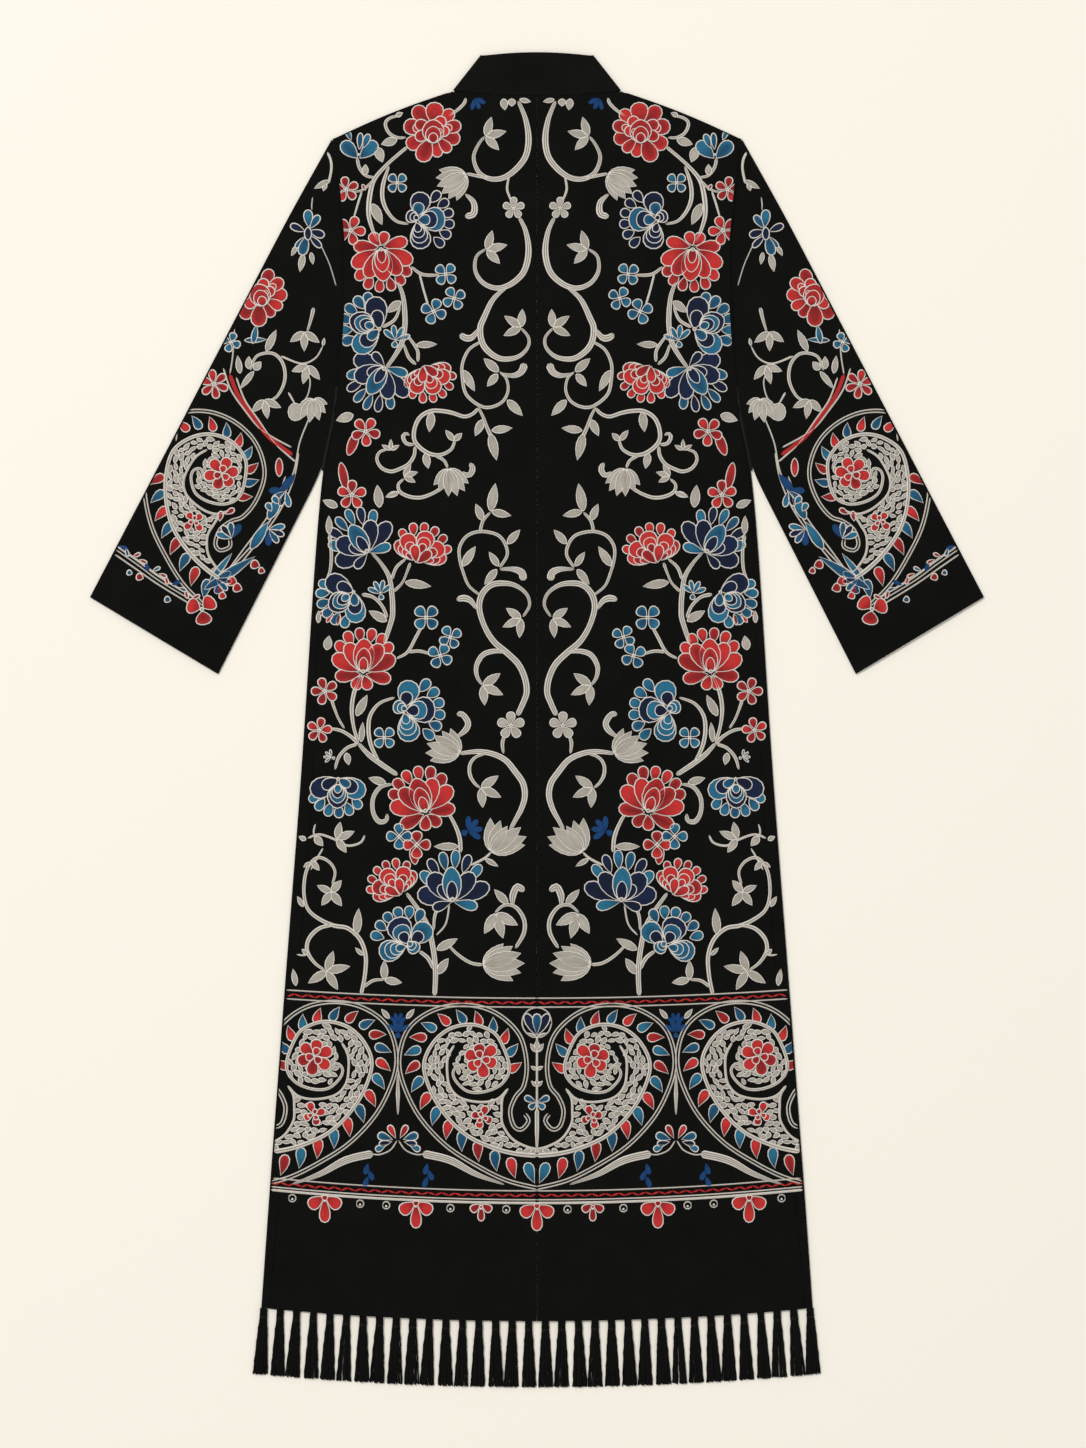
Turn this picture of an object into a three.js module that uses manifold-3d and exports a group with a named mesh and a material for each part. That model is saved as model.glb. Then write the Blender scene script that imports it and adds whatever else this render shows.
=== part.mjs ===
// An embroidered kaftan laid flat on its front, so that its back shows, with tassels along the hem.
// Millimetres, +Z up from the surface that it lies on. +Y points to the collar, and -X is the
// wearer's left. Places are worked out for +X, and each left or right piece has a mirrored twin.

import * as THREE from 'three';
import Module from 'manifold-3d';
import { mergeVertices } from 'three/addons/utils/BufferGeometryUtils.js';

// Cloth
const CLOTH = 1.2; // wall of a panel or sleeve, with its stitching
const COLLAR_CLOTH = 1.8; // wall of the stiffened collar
const AIR = 0.5; // between two layers that lie on each other
const SEAM = 0.3; // between two sewn edges
const FOLD = (CLOTH + AIR) / 2; // radius of a fold at the middle of its wall
const FOLD_OUT = FOLD + CLOTH / 2; // and at its outer face
const LOW = CLOTH / 2; // middle of the lower layer
const HIGH = LOW + 2 * FOLD; // middle of the upper layer

// Body
const HEM_MIDDLE = -646;
const HEM_SIDE = -632;
const HEM_HALF = 296.6;
const NECK_HALF = 90.6; // neck point, where collar and shoulder meet
const NECK_POINT = 676.2;
const BACK_NECK_DROP = 5.4;
const FRONT_NECK_DROP = 75;
const TIP_HALF = 219.5; // shoulder tip
const TIP = 624.6;
const SHOULDER_BOW = 3.5; // how far the shoulder line bows up from a straight one
const FRONT_GAP = 1; // between the two front edges

// Half width of the body at its side, from the hem to just under the arm
const SIDE = [
  { y: -632, x: 296.6 },
  { y: -515, x: 288.4 },
  { y: -405, x: 280.2 },
  { y: -295, x: 272.0 },
  { y: -180, x: 263.0 },
  { y: -64, x: 254.0 },
  { y: 50, x: 246.6 },
  { y: 165, x: 239.5 },
  { y: 235, x: 233.8 },
  { y: 271, x: 229.8 },
  { y: 297, x: 225.5 },
  { y: 325, x: 218.4 },
];

// Armhole: half width of the back's edge, how far the sleeve is tucked under that edge (below
// zero it is a gap), and how far the edge is raised over the sleeve
const ARMHOLE = [
  { y: 344, x: 215.6, tuck: -2.05, raise: 0 },
  { y: 362, x: 214.2, tuck: -0.3, raise: 1.7 },
  { y: 400, x: 211.8, tuck: 8, raise: 1.7 },
  { y: 445, x: 208.8, tuck: 8, raise: 1.7 },
  { y: 490, x: 206.7, tuck: 8, raise: 1.7 },
  { y: 530, x: 209.2, tuck: 6, raise: 1.7 },
  { y: 570, x: 213.6, tuck: -0.3, raise: 1.7 },
  { y: 605, x: 216.6, tuck: -0.3, raise: 0.9 },
  { y: TIP - FOLD_OUT, x: TIP_HALF, tuck: -0.3, raise: 0 },
];

// How far the front comes round the side onto the back
const WRAP = [
  { y: -632, x: 8.6 },
  { y: -295, x: 13 },
  { y: -64, x: 13 },
  { y: 165, x: 5.2 },
  { y: 271, x: 2.6 },
  { y: 325, x: 2.5 },
  { y: 344, x: -SEAM },
];

// Soft heights of the upper layer over a flat one
const PUFF = 1.5; // the back's middle
const PUFF_IN = 70; // how far in from an edge the puff is full
const RIPPLE = 0.45; // waves along the plain band above the hem
const RIPPLE_WIDTH = 92;
const RIPPLE_TOP = -420;
const RIPPLE_FULL = -600;
const SEAM_DIP = 0.5; // the centre-back seam sinks in
const SEAM_DIP_WIDTH = 14;
const NECK_LIFT = 0.9; // over the front half of the collar
const NECK_LIFT_FROM = 540;
const NECK_LIFT_FULL = 590;
const NECK_LIFT_END = 12; // how far past the neck point it fades out
const ARM_ROLL = 50; // width of the raised strip beside the armhole

// Sleeve, flat: its cuff corners and the bend near the shoulder, at the outer faces of the folds
const CUFF_OUTER = { x: 480.8, y: 132.2 };
const CUFF_INNER = { x: 342.7, y: 49.5 };
const SLEEVE_BEND = { u: 0.15, x: 265.8, y: 544 };
const SLEEVE_GAP = 0.5; // between the sleeve and the body's side
const CROTCH_U = 0.24; // where the sleeve parts from the body's side
const SLEEVE_STEPS = [0, 0.06, 0.15, CROTCH_U, 0.36, 0.48, 0.61, 0.74, 0.87, 1];
const SLEEVE_PUFF = 1.3;
const SLEEVE_PUFF_FROM = 0.05;
const SLEEVE_PUFF_FULL = 0.25;
const SLEEVE_ROUND = 0.7; // the lower, the flatter the sleeve's top

// Collar
const COLLAR_TOP = 717.8;
const COLLAR_TOP_HALF = 61;
const COLLAR_FOLD = (COLLAR_CLOTH + AIR) / 2;
const COLLAR_FOLD_OUT = COLLAR_FOLD + COLLAR_CLOTH / 2;
const COLLAR_LOW = COLLAR_CLOTH / 2;
const COLLAR_ROUND = 4; // how far the top edge drops at its rounded ends

// Tassels
const TASSELS = 34;
const TASSEL_PITCH = 17.8;
const TASSEL_LENGTH = 71.5;
const TASSEL_WIDTH = 15.6;
const TASSEL_LEAN = 3.3; // degrees outward at the two ends of the row
const TASSEL_SWAY = 0.8; // degrees of unevenness
const CORD_WIDTH = 2.4;
const KNOT_DOWN = 9.5; // from the hem to the middle of the knot
const KNOT = { x: 3.4, y: 3.6, z: 2.1 };
const KNOT_HEIGHT = 2.5; // its middle over the surface
const STRAND_WIDTH = 3.2;
const STRAND_ROOT = 1.3;
const STRAND_THICK = 1.2;
const ROOT_SPREAD = 4.5; // of the outer strands' roots in the knot
const END_UNEVEN = 1.5; // between one strand's end and the next
const STRAND_ROWS = [
  { count: 4, rootHeight: 1.8, endHeight: 1.0, spread: 1 },
  { count: 3, rootHeight: 3.3, endHeight: 2.6, spread: 0.67 },
];

// Cells of the meshes
const NECK_CELLS = 5;
const SHOULDER_SHARES = [0.06, 0.37, 0.68, 1];
const COLUMN_TURN = 3; // the higher, the nearer the top the columns turn to their top places
const FOLD_CELLS = 3;
const COLLAR_CELLS = 8;
const COLLAR_ROWS = 3;

const ROWS_BESIDE = [344, 325, 297, 271]; // where the sleeve's first steps lie beside the side
const OUTLINE = [...SIDE, ...ARMHOLE];
const ROWS = OUTLINE.map((row) => row.y);
const TOP_ROW = ROWS.length - 1;
const FOLD_TOP = SIDE.at(-1).y; // the side's fold is full below this
const UNDERARM = ARMHOLE[0].y; // and gone above this

const { lerp, smoothstep } = THREE.MathUtils;

/** The value that a table's column has at a height, along a smooth curve through its rows. */
function along(table, column, y) {
  const last = table.length - 1;
  const k = THREE.MathUtils.clamp(table.findIndex((row) => row.y > y) - 1, 0, last - 1);
  const at = y >= table[last].y ? last - 1 : k;
  const slope = (n) => {
    const before = table[Math.max(n - 1, 0)];
    const after = table[Math.min(n + 1, last)];
    return (after[column] - before[column]) / (after.y - before.y);
  };
  const [from, to] = [table[at], table[at + 1]];
  const span = to.y - from.y;
  const t = THREE.MathUtils.clamp((y - from.y) / span, 0, 1);
  const rise = to[column] - from[column];
  const [enter, leave] = [slope(at) * span, slope(at + 1) * span];
  return (
    from[column] + t * (enter + t * (3 * rise - 2 * enter - leave + t * (enter + leave - 2 * rise)))
  );
}

/** A closed slab of columns by rows cells, whose points place() sets, on faces +1 and -1. */
function slab(columns, rows, place) {
  const geometry = new THREE.BoxGeometry(1, 1, 1, columns, rows, 1);
  const points = geometry.attributes.position;
  for (let k = 0; k < points.count; k++) {
    const column = Math.round((points.getX(k) + 0.5) * columns);
    const row = Math.round((points.getY(k) + 0.5) * rows);
    points.setXYZ(k, ...place(column, row, Math.sign(points.getZ(k))));
  }
  return geometry;
}

/** A closed tube wall of ring by steps cells, open at both ends, whose points place() sets. */
function sleeveWall(ring, steps, place) {
  const profile = [];
  for (let step = 0; step <= steps; step++) profile.push({ step, face: 1 });
  for (let step = steps; step >= 0; step--) profile.push({ step, face: -1 });
  profile.push(profile[0]);
  const outline = profile.map(({ step, face }) => new THREE.Vector2(2 + face, step));
  const geometry = new THREE.LatheGeometry(outline, ring);
  const points = geometry.attributes.position;
  for (let k = 0; k < points.count; k++) {
    const { step, face } = profile[k % profile.length];
    const turn = Math.floor(k / profile.length) % ring;
    points.setXYZ(k, ...place(turn, step, face));
  }
  return geometry;
}

/** The same shape with every triangle facing the other way. */
function turnedInsideOut(geometry) {
  const order = geometry.index.array;
  for (let k = 0; k < order.length; k += 3) {
    [order[k + 1], order[k + 2]] = [order[k + 2], order[k + 1]];
  }
  return geometry;
}

function mirrored(geometry) {
  return turnedInsideOut(geometry.clone().scale(-1, 1, 1));
}

// Outlines of the panels

const hemY = (x) => lerp(HEM_MIDDLE, HEM_SIDE, (x / HEM_HALF) ** 2);

/** The shoulder line's height at a place between the neck point and the tip. */
function shoulderY(x) {
  const share = (x - NECK_HALF) / (TIP_HALF - NECK_HALF);
  return lerp(NECK_POINT, TIP, share) + 4 * SHOULDER_BOW * share * (1 - share);
}

function backTop(x) {
  if (x > NECK_HALF) return shoulderY(x) - FOLD_OUT - SEAM;
  return NECK_POINT - BACK_NECK_DROP * (1 - (x / NECK_HALF) ** 2) - SEAM / 2;
}

/** The front's top edge, or the middle of its fold over the shoulder. */
function frontTop(x) {
  if (x > NECK_HALF) return shoulderY(x) - FOLD_OUT;
  const drop = Math.sqrt(Math.max(0, 1 - (x / NECK_HALF) ** 2));
  return NECK_POINT - FRONT_NECK_DROP * drop - FOLD_OUT;
}

/** Half width of the body seen from above. */
const bodyHalf = (y) => along(OUTLINE, 'x', y);

const backEdge = (y) => bodyHalf(y) - along(WRAP, 'x', y) - SEAM;

/** Where the front ends beside the sleeve, or its side fold's outer face below the arm. */
const frontEdge = (y) => bodyHalf(y) - Math.max(along(ARMHOLE, 'tuck', y), -SEAM) - SEAM;

/** Columns of a panel: their place on its top edge, and their even share of its width below. */
function columnsOf(neckShares, start, tip) {
  const atNeck = neckShares.map((share) => lerp(start, NECK_HALF, share));
  const onShoulder = SHOULDER_SHARES.map((share) => lerp(NECK_HALF, tip, share));
  const all = [...atNeck, ...onShoulder];
  const even = (k) => k / (all.length - 1);
  return all.map((topX, k) => ({ topX, top: (topX - start) / (tip - start), even: even(k) }));
}

const evenNeck = Array.from({ length: NECK_CELLS + 1 }, (_, k) => k / NECK_CELLS);
const roundNeck = evenNeck.map((share) => Math.sin((share * Math.PI) / 2));

/** A point of a panel in plan, from its column and its row. */
function panelPoint(column, row, start, edge, top) {
  const rise = (ROWS[row] - ROWS[0]) / (ROWS[TOP_ROW] - ROWS[0]);
  const x = lerp(start, edge(ROWS[row]), lerp(column.even, column.top, rise ** COLUMN_TURN));
  const hem = hemY(lerp(start, edge(ROWS[0]), column.even));
  return { x, y: lerp(hem, top(column.topX), rise) };
}

// Back

/** How far the back rises over a flat layer. */
function lift(x, y) {
  const fromSide = smoothstep(backEdge(y) - x, 0, PUFF_IN);
  const fromTop = smoothstep(backTop(x) - y, 0, PUFF_IN);
  const plain = smoothstep(RIPPLE_TOP - y, 0, RIPPLE_TOP - RIPPLE_FULL);
  const ripple = RIPPLE * plain * Math.cos((2 * Math.PI * x) / RIPPLE_WIDTH);
  const dip = SEAM_DIP * (1 - smoothstep(x, 0, SEAM_DIP_WIDTH));
  const nearNeck = 1 - smoothstep(x, NECK_HALF, NECK_HALF + NECK_LIFT_END);
  const overCollar = NECK_LIFT * smoothstep(y, NECK_LIFT_FROM, NECK_LIFT_FULL) * nearNeck;
  return (PUFF * fromTop + ripple - dip * fromTop) * fromSide + overCollar + armRaise(x, y);
}

function armRaise(x, y) {
  const nearEdge = 1 - smoothstep(backEdge(y) - x, 0, ARM_ROLL);
  return along(ARMHOLE, 'raise', y) * nearEdge;
}

function backPanel() {
  const columns = columnsOf(evenNeck, SEAM / 2, TIP_HALF);
  return slab(columns.length - 1, TOP_ROW, (column, row, face) => {
    const { x, y } = panelPoint(columns[column], row, SEAM / 2, backEdge, backTop);
    return [x, y, HIGH + lift(x, y) + (face * CLOTH) / 2];
  });
}

// Front

/** A step of a rolled edge: how far out and up it goes, and how far its wall has turned. */
function rolled(step, steps, flatEnd) {
  const turn = Math.PI * Math.min(step / FOLD_CELLS, 1);
  const past = steps > FOLD_CELLS && step === steps ? flatEnd : 0;
  return { out: FOLD * Math.sin(turn) - past, up: FOLD * (1 - Math.cos(turn)), turn };
}

/** The same step, flat where share is 0 and rolled where it is 1. */
function partRolled(step, steps, share, flatEnd = 0) {
  const full = rolled(step, steps, flatEnd);
  return {
    out: lerp((FOLD_OUT * step) / steps, full.out, share),
    up: full.up * share,
    turn: full.turn * share,
  };
}

/** The left front, from its wrapped side to its front edge. */
function frontPanel() {
  const edge = (y) => frontEdge(y) - FOLD_OUT;
  const columns = columnsOf(roundNeck, FRONT_GAP / 2, TIP_HALF - FOLD_OUT);
  const inner = columns.length - 1;
  const sideCells = FOLD_CELLS + 1;
  return slab(inner + sideCells, TOP_ROW + FOLD_CELLS, (fromSide, row, face) => {
    const column = inner + sideCells - fromSide;
    const at = columns[Math.min(column, inner)];
    const level = Math.min(row, TOP_ROW);
    const { x, y } = panelPoint(at, level, FRONT_GAP / 2, edge, frontTop);
    const below = 1 - smoothstep(ROWS[level], FOLD_TOP, UNDERARM);
    const flatEnd = along(WRAP, 'x', ROWS[level]) - FOLD_OUT;
    const side = partRolled(Math.max(column - inner, 0), sideCells, below, flatEnd);
    const onShoulder = at.topX > NECK_HALF ? 1 : 0;
    const top = partRolled(Math.max(row - TOP_ROW, 0), FOLD_CELLS, onShoulder);
    const half = (face * CLOTH) / 2;
    return [
      -(x + side.out - half * Math.sin(side.turn)),
      y + top.out - half * Math.sin(top.turn),
      LOW + side.up + top.up + half * Math.cos(side.turn) * Math.cos(top.turn),
    ];
  });
}

// Sleeve

const plan = (x, y) => new THREE.Vector2(x, y);

/** The outward side of a line that runs from the armhole to the cuff. */
function normalOf(line, u, outward) {
  const way = line(Math.min(u + 0.02, 1)).sub(line(Math.max(u - 0.02, 0))).normalize();
  return plan(-way.y * outward, way.x * outward);
}

const sleeveStartX = (y) => bodyHalf(y) - along(ARMHOLE, 'tuck', y);
const outerWay = plan(CUFF_OUTER.x - SLEEVE_BEND.x, CUFF_OUTER.y - SLEEVE_BEND.y).normalize();
const outerIn = plan(outerWay.y, -outerWay.x).multiplyScalar(FOLD_OUT);

/** The middle of the outer fold, from the shoulder tip to the cuff. */
function outerLine(u) {
  const tip = plan(sleeveStartX(ROWS[TOP_ROW]), ROWS[TOP_ROW]);
  const bend = plan(SLEEVE_BEND.x, SLEEVE_BEND.y).add(outerIn);
  const cuff = plan(CUFF_OUTER.x, CUFF_OUTER.y).add(outerIn);
  if (u < SLEEVE_BEND.u) return tip.lerp(bend, u / SLEEVE_BEND.u);
  return bend.lerp(cuff, (u - SLEEVE_BEND.u) / (1 - SLEEVE_BEND.u));
}

/** The middle of the inner fold: beside the body's side first, then straight to the cuff. */
function innerLine(u) {
  const beside = (y) => plan(frontEdge(y) + SLEEVE_GAP + FOLD_OUT, y);
  if (u < CROTCH_U) {
    const k = SLEEVE_STEPS.findIndex((step) => step > u) - 1;
    const t = (u - SLEEVE_STEPS[k]) / (SLEEVE_STEPS[k + 1] - SLEEVE_STEPS[k]);
    return beside(lerp(ROWS_BESIDE[k], ROWS_BESIDE[k + 1], t));
  }
  const cuff = plan(CUFF_INNER.x, CUFF_INNER.y).sub(outerIn);
  return beside(ROWS_BESIDE.at(-1)).lerp(cuff, (u - CROTCH_U) / (1 - CROTCH_U));
}

/** A point of the flat sleeve in plan: u runs to the cuff, v from the outer to the inner fold. */
function sleevePlan(u, v) {
  const startAt = (w) => {
    const y = lerp(ROWS[TOP_ROW], UNDERARM, w);
    return plan(sleeveStartX(y), y);
  };
  const cuffAt = (w) => outerLine(1).lerp(innerLine(1), w);
  const across = startAt(v).lerp(cuffAt(v), u);
  const down = outerLine(u).lerp(innerLine(u), v);
  const start = startAt(0).lerp(startAt(1), v);
  const corners = start.lerp(cuffAt(v), u);
  return across.add(down).sub(corners);
}

function sleeveLift(u, v) {
  const across = Math.sin(Math.PI * v) ** SLEEVE_ROUND;
  return SLEEVE_PUFF * smoothstep(u, SLEEVE_PUFF_FROM, SLEEVE_PUFF_FULL) * across;
}

const ARM_SHARES = ARMHOLE.map((row) => (ROWS[TOP_ROW] - row.y) / (ROWS[TOP_ROW] - UNDERARM))
  .reverse();
const ARM_CELLS = ARM_SHARES.length - 1;

/** Where each turn of the ring lies: over the top, round the inner fold, back below, round. */
function ringPlace(turn) {
  const stops = [ARM_CELLS, FOLD_CELLS, ARM_CELLS, FOLD_CELLS];
  const angle = (k) => (Math.PI * k) / FOLD_CELLS;
  if (turn <= stops[0]) return { v: ARM_SHARES[turn], turned: 0 };
  const round = turn - stops[0];
  if (round < stops[1]) return { v: 1, turned: angle(round) };
  const back = round - stops[1];
  if (back <= stops[2]) return { v: ARM_SHARES[ARM_CELLS - back], turned: Math.PI };
  return { v: 0, turned: angle(FOLD_CELLS - (back - stops[2])) };
}

function sleeve() {
  const ring = 2 * (ARM_CELLS + FOLD_CELLS);
  return sleeveWall(ring, SLEEVE_STEPS.length - 1, (turn, step, face) => {
    const u = SLEEVE_STEPS[step];
    const { v, turned } = ringPlace(turn);
    const line = v === 1 ? innerLine : outerLine;
    const out = normalOf(line, u, v === 1 ? -1 : 1);
    const reach = (FOLD + (face * CLOTH) / 2) * Math.sin(turned);
    const puff = turned === 0 ? sleeveLift(u, v) : 0;
    const at = sleevePlan(u, v).addScaledVector(out, reach);
    const z = LOW + FOLD + (FOLD + (face * CLOTH) / 2) * Math.cos(turned) + puff;
    return [at.x, at.y, z];
  });
}

// Collar

/** The collar's path at a share of its height, from one front edge round the back to the other. */
function collarPoint(column, rise) {
  const cells = [NECK_CELLS, FOLD_CELLS, COLLAR_CELLS, FOLD_CELLS, NECK_CELLS];
  const foldHalf = lerp(NECK_HALF, COLLAR_TOP_HALF, rise) - COLLAR_FOLD_OUT;
  const foldY = lerp(NECK_POINT + SEAM / 2, COLLAR_TOP - COLLAR_ROUND, rise);
  const frontY = FRONT_NECK_DROP - SEAM;
  let at = column;
  if (at <= cells[0]) return frontHalf(at / cells[0], 1);
  at -= cells[0];
  if (at < cells[1]) return folded(at / cells[1], 1);
  at -= cells[1];
  if (at <= cells[2]) return backHalf(1 - (2 * at) / cells[2]);
  at -= cells[2];
  if (at < cells[3]) return folded(1 - at / cells[3], -1);
  at -= cells[3];
  return frontHalf(1 - at / cells[4], -1);

  function frontHalf(share, side) {
    const turn = (share * Math.PI) / 2;
    const x = Math.max(foldHalf * Math.sin(turn), FRONT_GAP / 2);
    return { x: side * x, y: foldY - frontY * Math.cos(turn), turn: 0, side };
  }
  function folded(share, side) {
    return { x: side * foldHalf, y: foldY, turn: Math.PI * share, side };
  }
  function backHalf(share) {
    const sag = (BACK_NECK_DROP * (1 - rise) - COLLAR_ROUND * rise) * (1 - share * share);
    return { x: foldHalf * share, y: foldY - sag, turn: Math.PI, side: Math.sign(share) };
  }
}

function collar() {
  const columns = 2 * (NECK_CELLS + FOLD_CELLS) + COLLAR_CELLS;
  const slant = plan(NECK_HALF - COLLAR_TOP_HALF, COLLAR_TOP - NECK_POINT).normalize();
  return slab(columns, COLLAR_ROWS, (column, row, face) => {
    const { x, y, turn, side } = collarPoint(column, row / COLLAR_ROWS);
    const half = (face * COLLAR_CLOTH) / 2;
    const reach = (COLLAR_FOLD - half) * Math.sin(turn);
    const z = COLLAR_LOW + COLLAR_FOLD - (COLLAR_FOLD - half) * Math.cos(turn);
    return [x + side * reach * slant.y, y + reach * slant.x, z];
  });
}

// Tassels

const wasm = await Module();
wasm.setup();

function solid(geometry) {
  const bare = geometry.clone();
  bare.deleteAttribute('normal');
  bare.deleteAttribute('uv');
  const merged = mergeVertices(bare, 1e-5);
  return new wasm.Manifold(
    new wasm.Mesh({
      numProp: 3,
      vertProperties: new Float32Array(merged.attributes.position.array),
      triVerts: new Uint32Array(merged.index.array),
    }),
  );
}

function geometryOf(manifold) {
  const { vertProperties, triVerts } = manifold.getMesh();
  const geometry = new THREE.BufferGeometry();
  geometry.setAttribute('position', new THREE.BufferAttribute(vertProperties, 3));
  geometry.setIndex(new THREE.BufferAttribute(triVerts, 1));
  return geometry;
}

/** One strand, from its free end, step 0, up to its root in the knot. */
function strand(row, k) {
  const place = (k / (row.count - 1) - 0.5) * row.spread;
  const endSpread = TASSEL_WIDTH - STRAND_WIDTH;
  const endY = -TASSEL_LENGTH + END_UNEVEN * (k % 2);
  return slab(1, 1, (column, step, face) => {
    const wide = step === 0 ? STRAND_WIDTH : STRAND_ROOT;
    const x = place * (step === 0 ? endSpread : ROOT_SPREAD) + (column - 0.5) * wide;
    const z = (step === 0 ? row.endHeight : row.rootHeight) + (face * STRAND_THICK) / 2;
    return [x, step === 0 ? endY : -KNOT_DOWN, z];
  });
}

/** A tassel whose cord leaves the hem at a height, before it is leaned and put in the row. */
function tassel(height, lean) {
  const knot = new THREE.SphereGeometry(1, 6, 4).rotateX(Math.PI / 2).scale(KNOT.x, KNOT.y, KNOT.z);
  knot.translate(0, -KNOT_DOWN, KNOT_HEIGHT);
  const cord = slab(1, 1, (column, step, face) => {
    const z = (step === 0 ? KNOT_HEIGHT : height) + (face * CLOTH) / 2;
    return [(column - 0.5) * CORD_WIDTH, step === 0 ? -KNOT_DOWN : 0, z];
  });
  let whole = solid(knot).add(solid(cord));
  for (const row of STRAND_ROWS) {
    for (let k = 0; k < row.count; k++) whole = whole.add(solid(strand(row, k)));
  }
  return geometryOf(whole).rotateZ(THREE.MathUtils.degToRad(lean));
}

// The whole

const MATERIALS = {
  cloth: { color: 0x131314, roughness: 0.86, metalness: 0 },
  thread: { color: 0x1b1a1a, roughness: 0.62, metalness: 0 },
};

const kaftan = new THREE.Group();

function piece(name, geometry, finish) {
  geometry.computeVertexNormals();
  const mesh = new THREE.Mesh(geometry, new THREE.MeshStandardMaterial(MATERIALS[finish]));
  mesh.name = name;
  kaftan.add(mesh);
  return mesh;
}

for (const [name, other, geometry] of [
  ['back_right', 'back_left', backPanel()],
  ['front_left', 'front_right', frontPanel()],
  ['sleeve_right', 'sleeve_left', sleeve()],
]) {
  piece(name, geometry, 'cloth');
  piece(other, mirrored(geometry), 'cloth');
}
piece('collar', collar(), 'cloth');

for (let k = 0; k < TASSELS; k++) {
  const share = (2 * k) / (TASSELS - 1) - 1;
  const x = (share * TASSEL_PITCH * (TASSELS - 1)) / 2;
  const hem = hemY(Math.abs(x));
  const lean = TASSEL_LEAN * share + TASSEL_SWAY * Math.sin(2.4 * k);
  const shape = tassel(HIGH + lift(Math.abs(x), hem), lean);
  const mesh = piece(`tassel_${String(k + 1).padStart(2, '0')}`, shape, 'thread');
  mesh.position.set(x, hem - SEAM, 0);
}

export default kaftan;
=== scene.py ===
# An embroidered kaftan laid flat with its back up. The cloth is softened from the solid panels,
# the chain-stitch embroidery is laid on it, and every tassel gets its threads.
# Metres, +Z up from the surface that it lies on, +Y to the collar. The tables of the embroidery
# are in millimetres, given for +X from the centre-back seam and mirrored for -X.

import math
import random

import bmesh
import bpy
from mathutils import Matrix, Vector, noise
from mathutils.bvhtree import BVHTree


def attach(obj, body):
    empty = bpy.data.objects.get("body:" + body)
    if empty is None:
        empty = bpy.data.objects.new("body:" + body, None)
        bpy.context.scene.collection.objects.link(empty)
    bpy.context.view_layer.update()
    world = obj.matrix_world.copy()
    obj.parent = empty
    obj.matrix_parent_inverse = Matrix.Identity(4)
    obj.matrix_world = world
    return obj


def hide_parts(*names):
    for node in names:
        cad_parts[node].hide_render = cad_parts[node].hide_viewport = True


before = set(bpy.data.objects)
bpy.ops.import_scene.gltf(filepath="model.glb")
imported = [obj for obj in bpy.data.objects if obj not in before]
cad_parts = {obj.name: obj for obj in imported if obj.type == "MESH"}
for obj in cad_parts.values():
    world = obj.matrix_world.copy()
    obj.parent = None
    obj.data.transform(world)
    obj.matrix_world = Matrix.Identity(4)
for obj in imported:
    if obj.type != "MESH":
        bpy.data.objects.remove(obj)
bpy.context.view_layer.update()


def table(columns, *rows):
    """Rows with named columns."""
    return [dict(zip(columns.split(), row)) for row in rows]


# Cloth, as its solids are
CLOTH = 0.0012
AIR = 0.0005
HEM_MIDDLE = -0.646
HEM_SIDE = -0.632
HEM_HALF = 0.2966
NECK_HALF = 0.0906
NECK_POINT = 0.6762
BACK_NECK_DROP = 0.0054
SHOULDER_BOW = 0.014
TIP_HALF = 0.2195
TIP = 0.6246

# Half width of the body, from the hem to the shoulder tip
BODY_HALF = table(
    "y x",
    (-0.632, 0.2966),
    (-0.515, 0.2884),
    (-0.405, 0.2802),
    (-0.295, 0.2720),
    (-0.180, 0.2630),
    (-0.064, 0.2540),
    (0.050, 0.2466),
    (0.165, 0.2395),
    (0.235, 0.2338),
    (0.271, 0.2298),
    (0.325, 0.2184),
    (0.362, 0.2142),
    (0.445, 0.2088),
    (0.490, 0.2067),
    (0.570, 0.2136),
    (0.6246, 0.2195),
)

# Corners of the flat sleeve
SLEEVE_BEND = (0.2658, 0.5440)
CUFF_OUTER = (0.4808, 0.1322)
CUFF_INNER = (0.3427, 0.0495)
UNDERARM = (0.2298, 0.2710)

# Soft unevenness of the upper layer
WRINKLE = 0.00045
WRINKLE_SIZE = (0.10, 0.17)
CREASE = 0.00012
CREASE_SIZE = (0.022, 0.034)

# Making the finer copies of the solids
WELD = 1e-6
FLAT_ANGLE = math.radians(25)  # triangles that are flatter to each other are joined
SQUARE_ANGLE = math.radians(70)
RIM_ANGLE = math.radians(50)
SHARP_ANGLE = math.radians(42)
WALL_LEVELS = 2

# Embroidery
EDGE_MARGIN = 0.0022  # left free beside an edge of the cloth
ARMHOLE_MARGIN = 0.0015
OFF_CLOTH = 0.0015  # how far a stitch may be outside the cloth before it is left out
SEAM_REACH = 0.0004  # the cloth's top is looked for this far to both sides
SUNK = -0.0002  # the underside of the stitching, just in the cloth
LAYER = 0.00035  # what one layer of stitching rises over the last
ROW_PITCH = 0.0014
LINK = 0.0026
OUTLINE = 0.0012  # the cream line round a petal
MILLI = 0.001

# Stems
STEM_STEP = 0.0028
STEM_ROW = 0.0024  # widest row of chain stitch in a stem
STEM_CREST = 0.0006
STEM_FOOT = 0.0003
STEM_END = 0.45  # how wide a stem still is at its ends
BAND_WELD = 1e-7
CURVE_CUTS = 12

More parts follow.
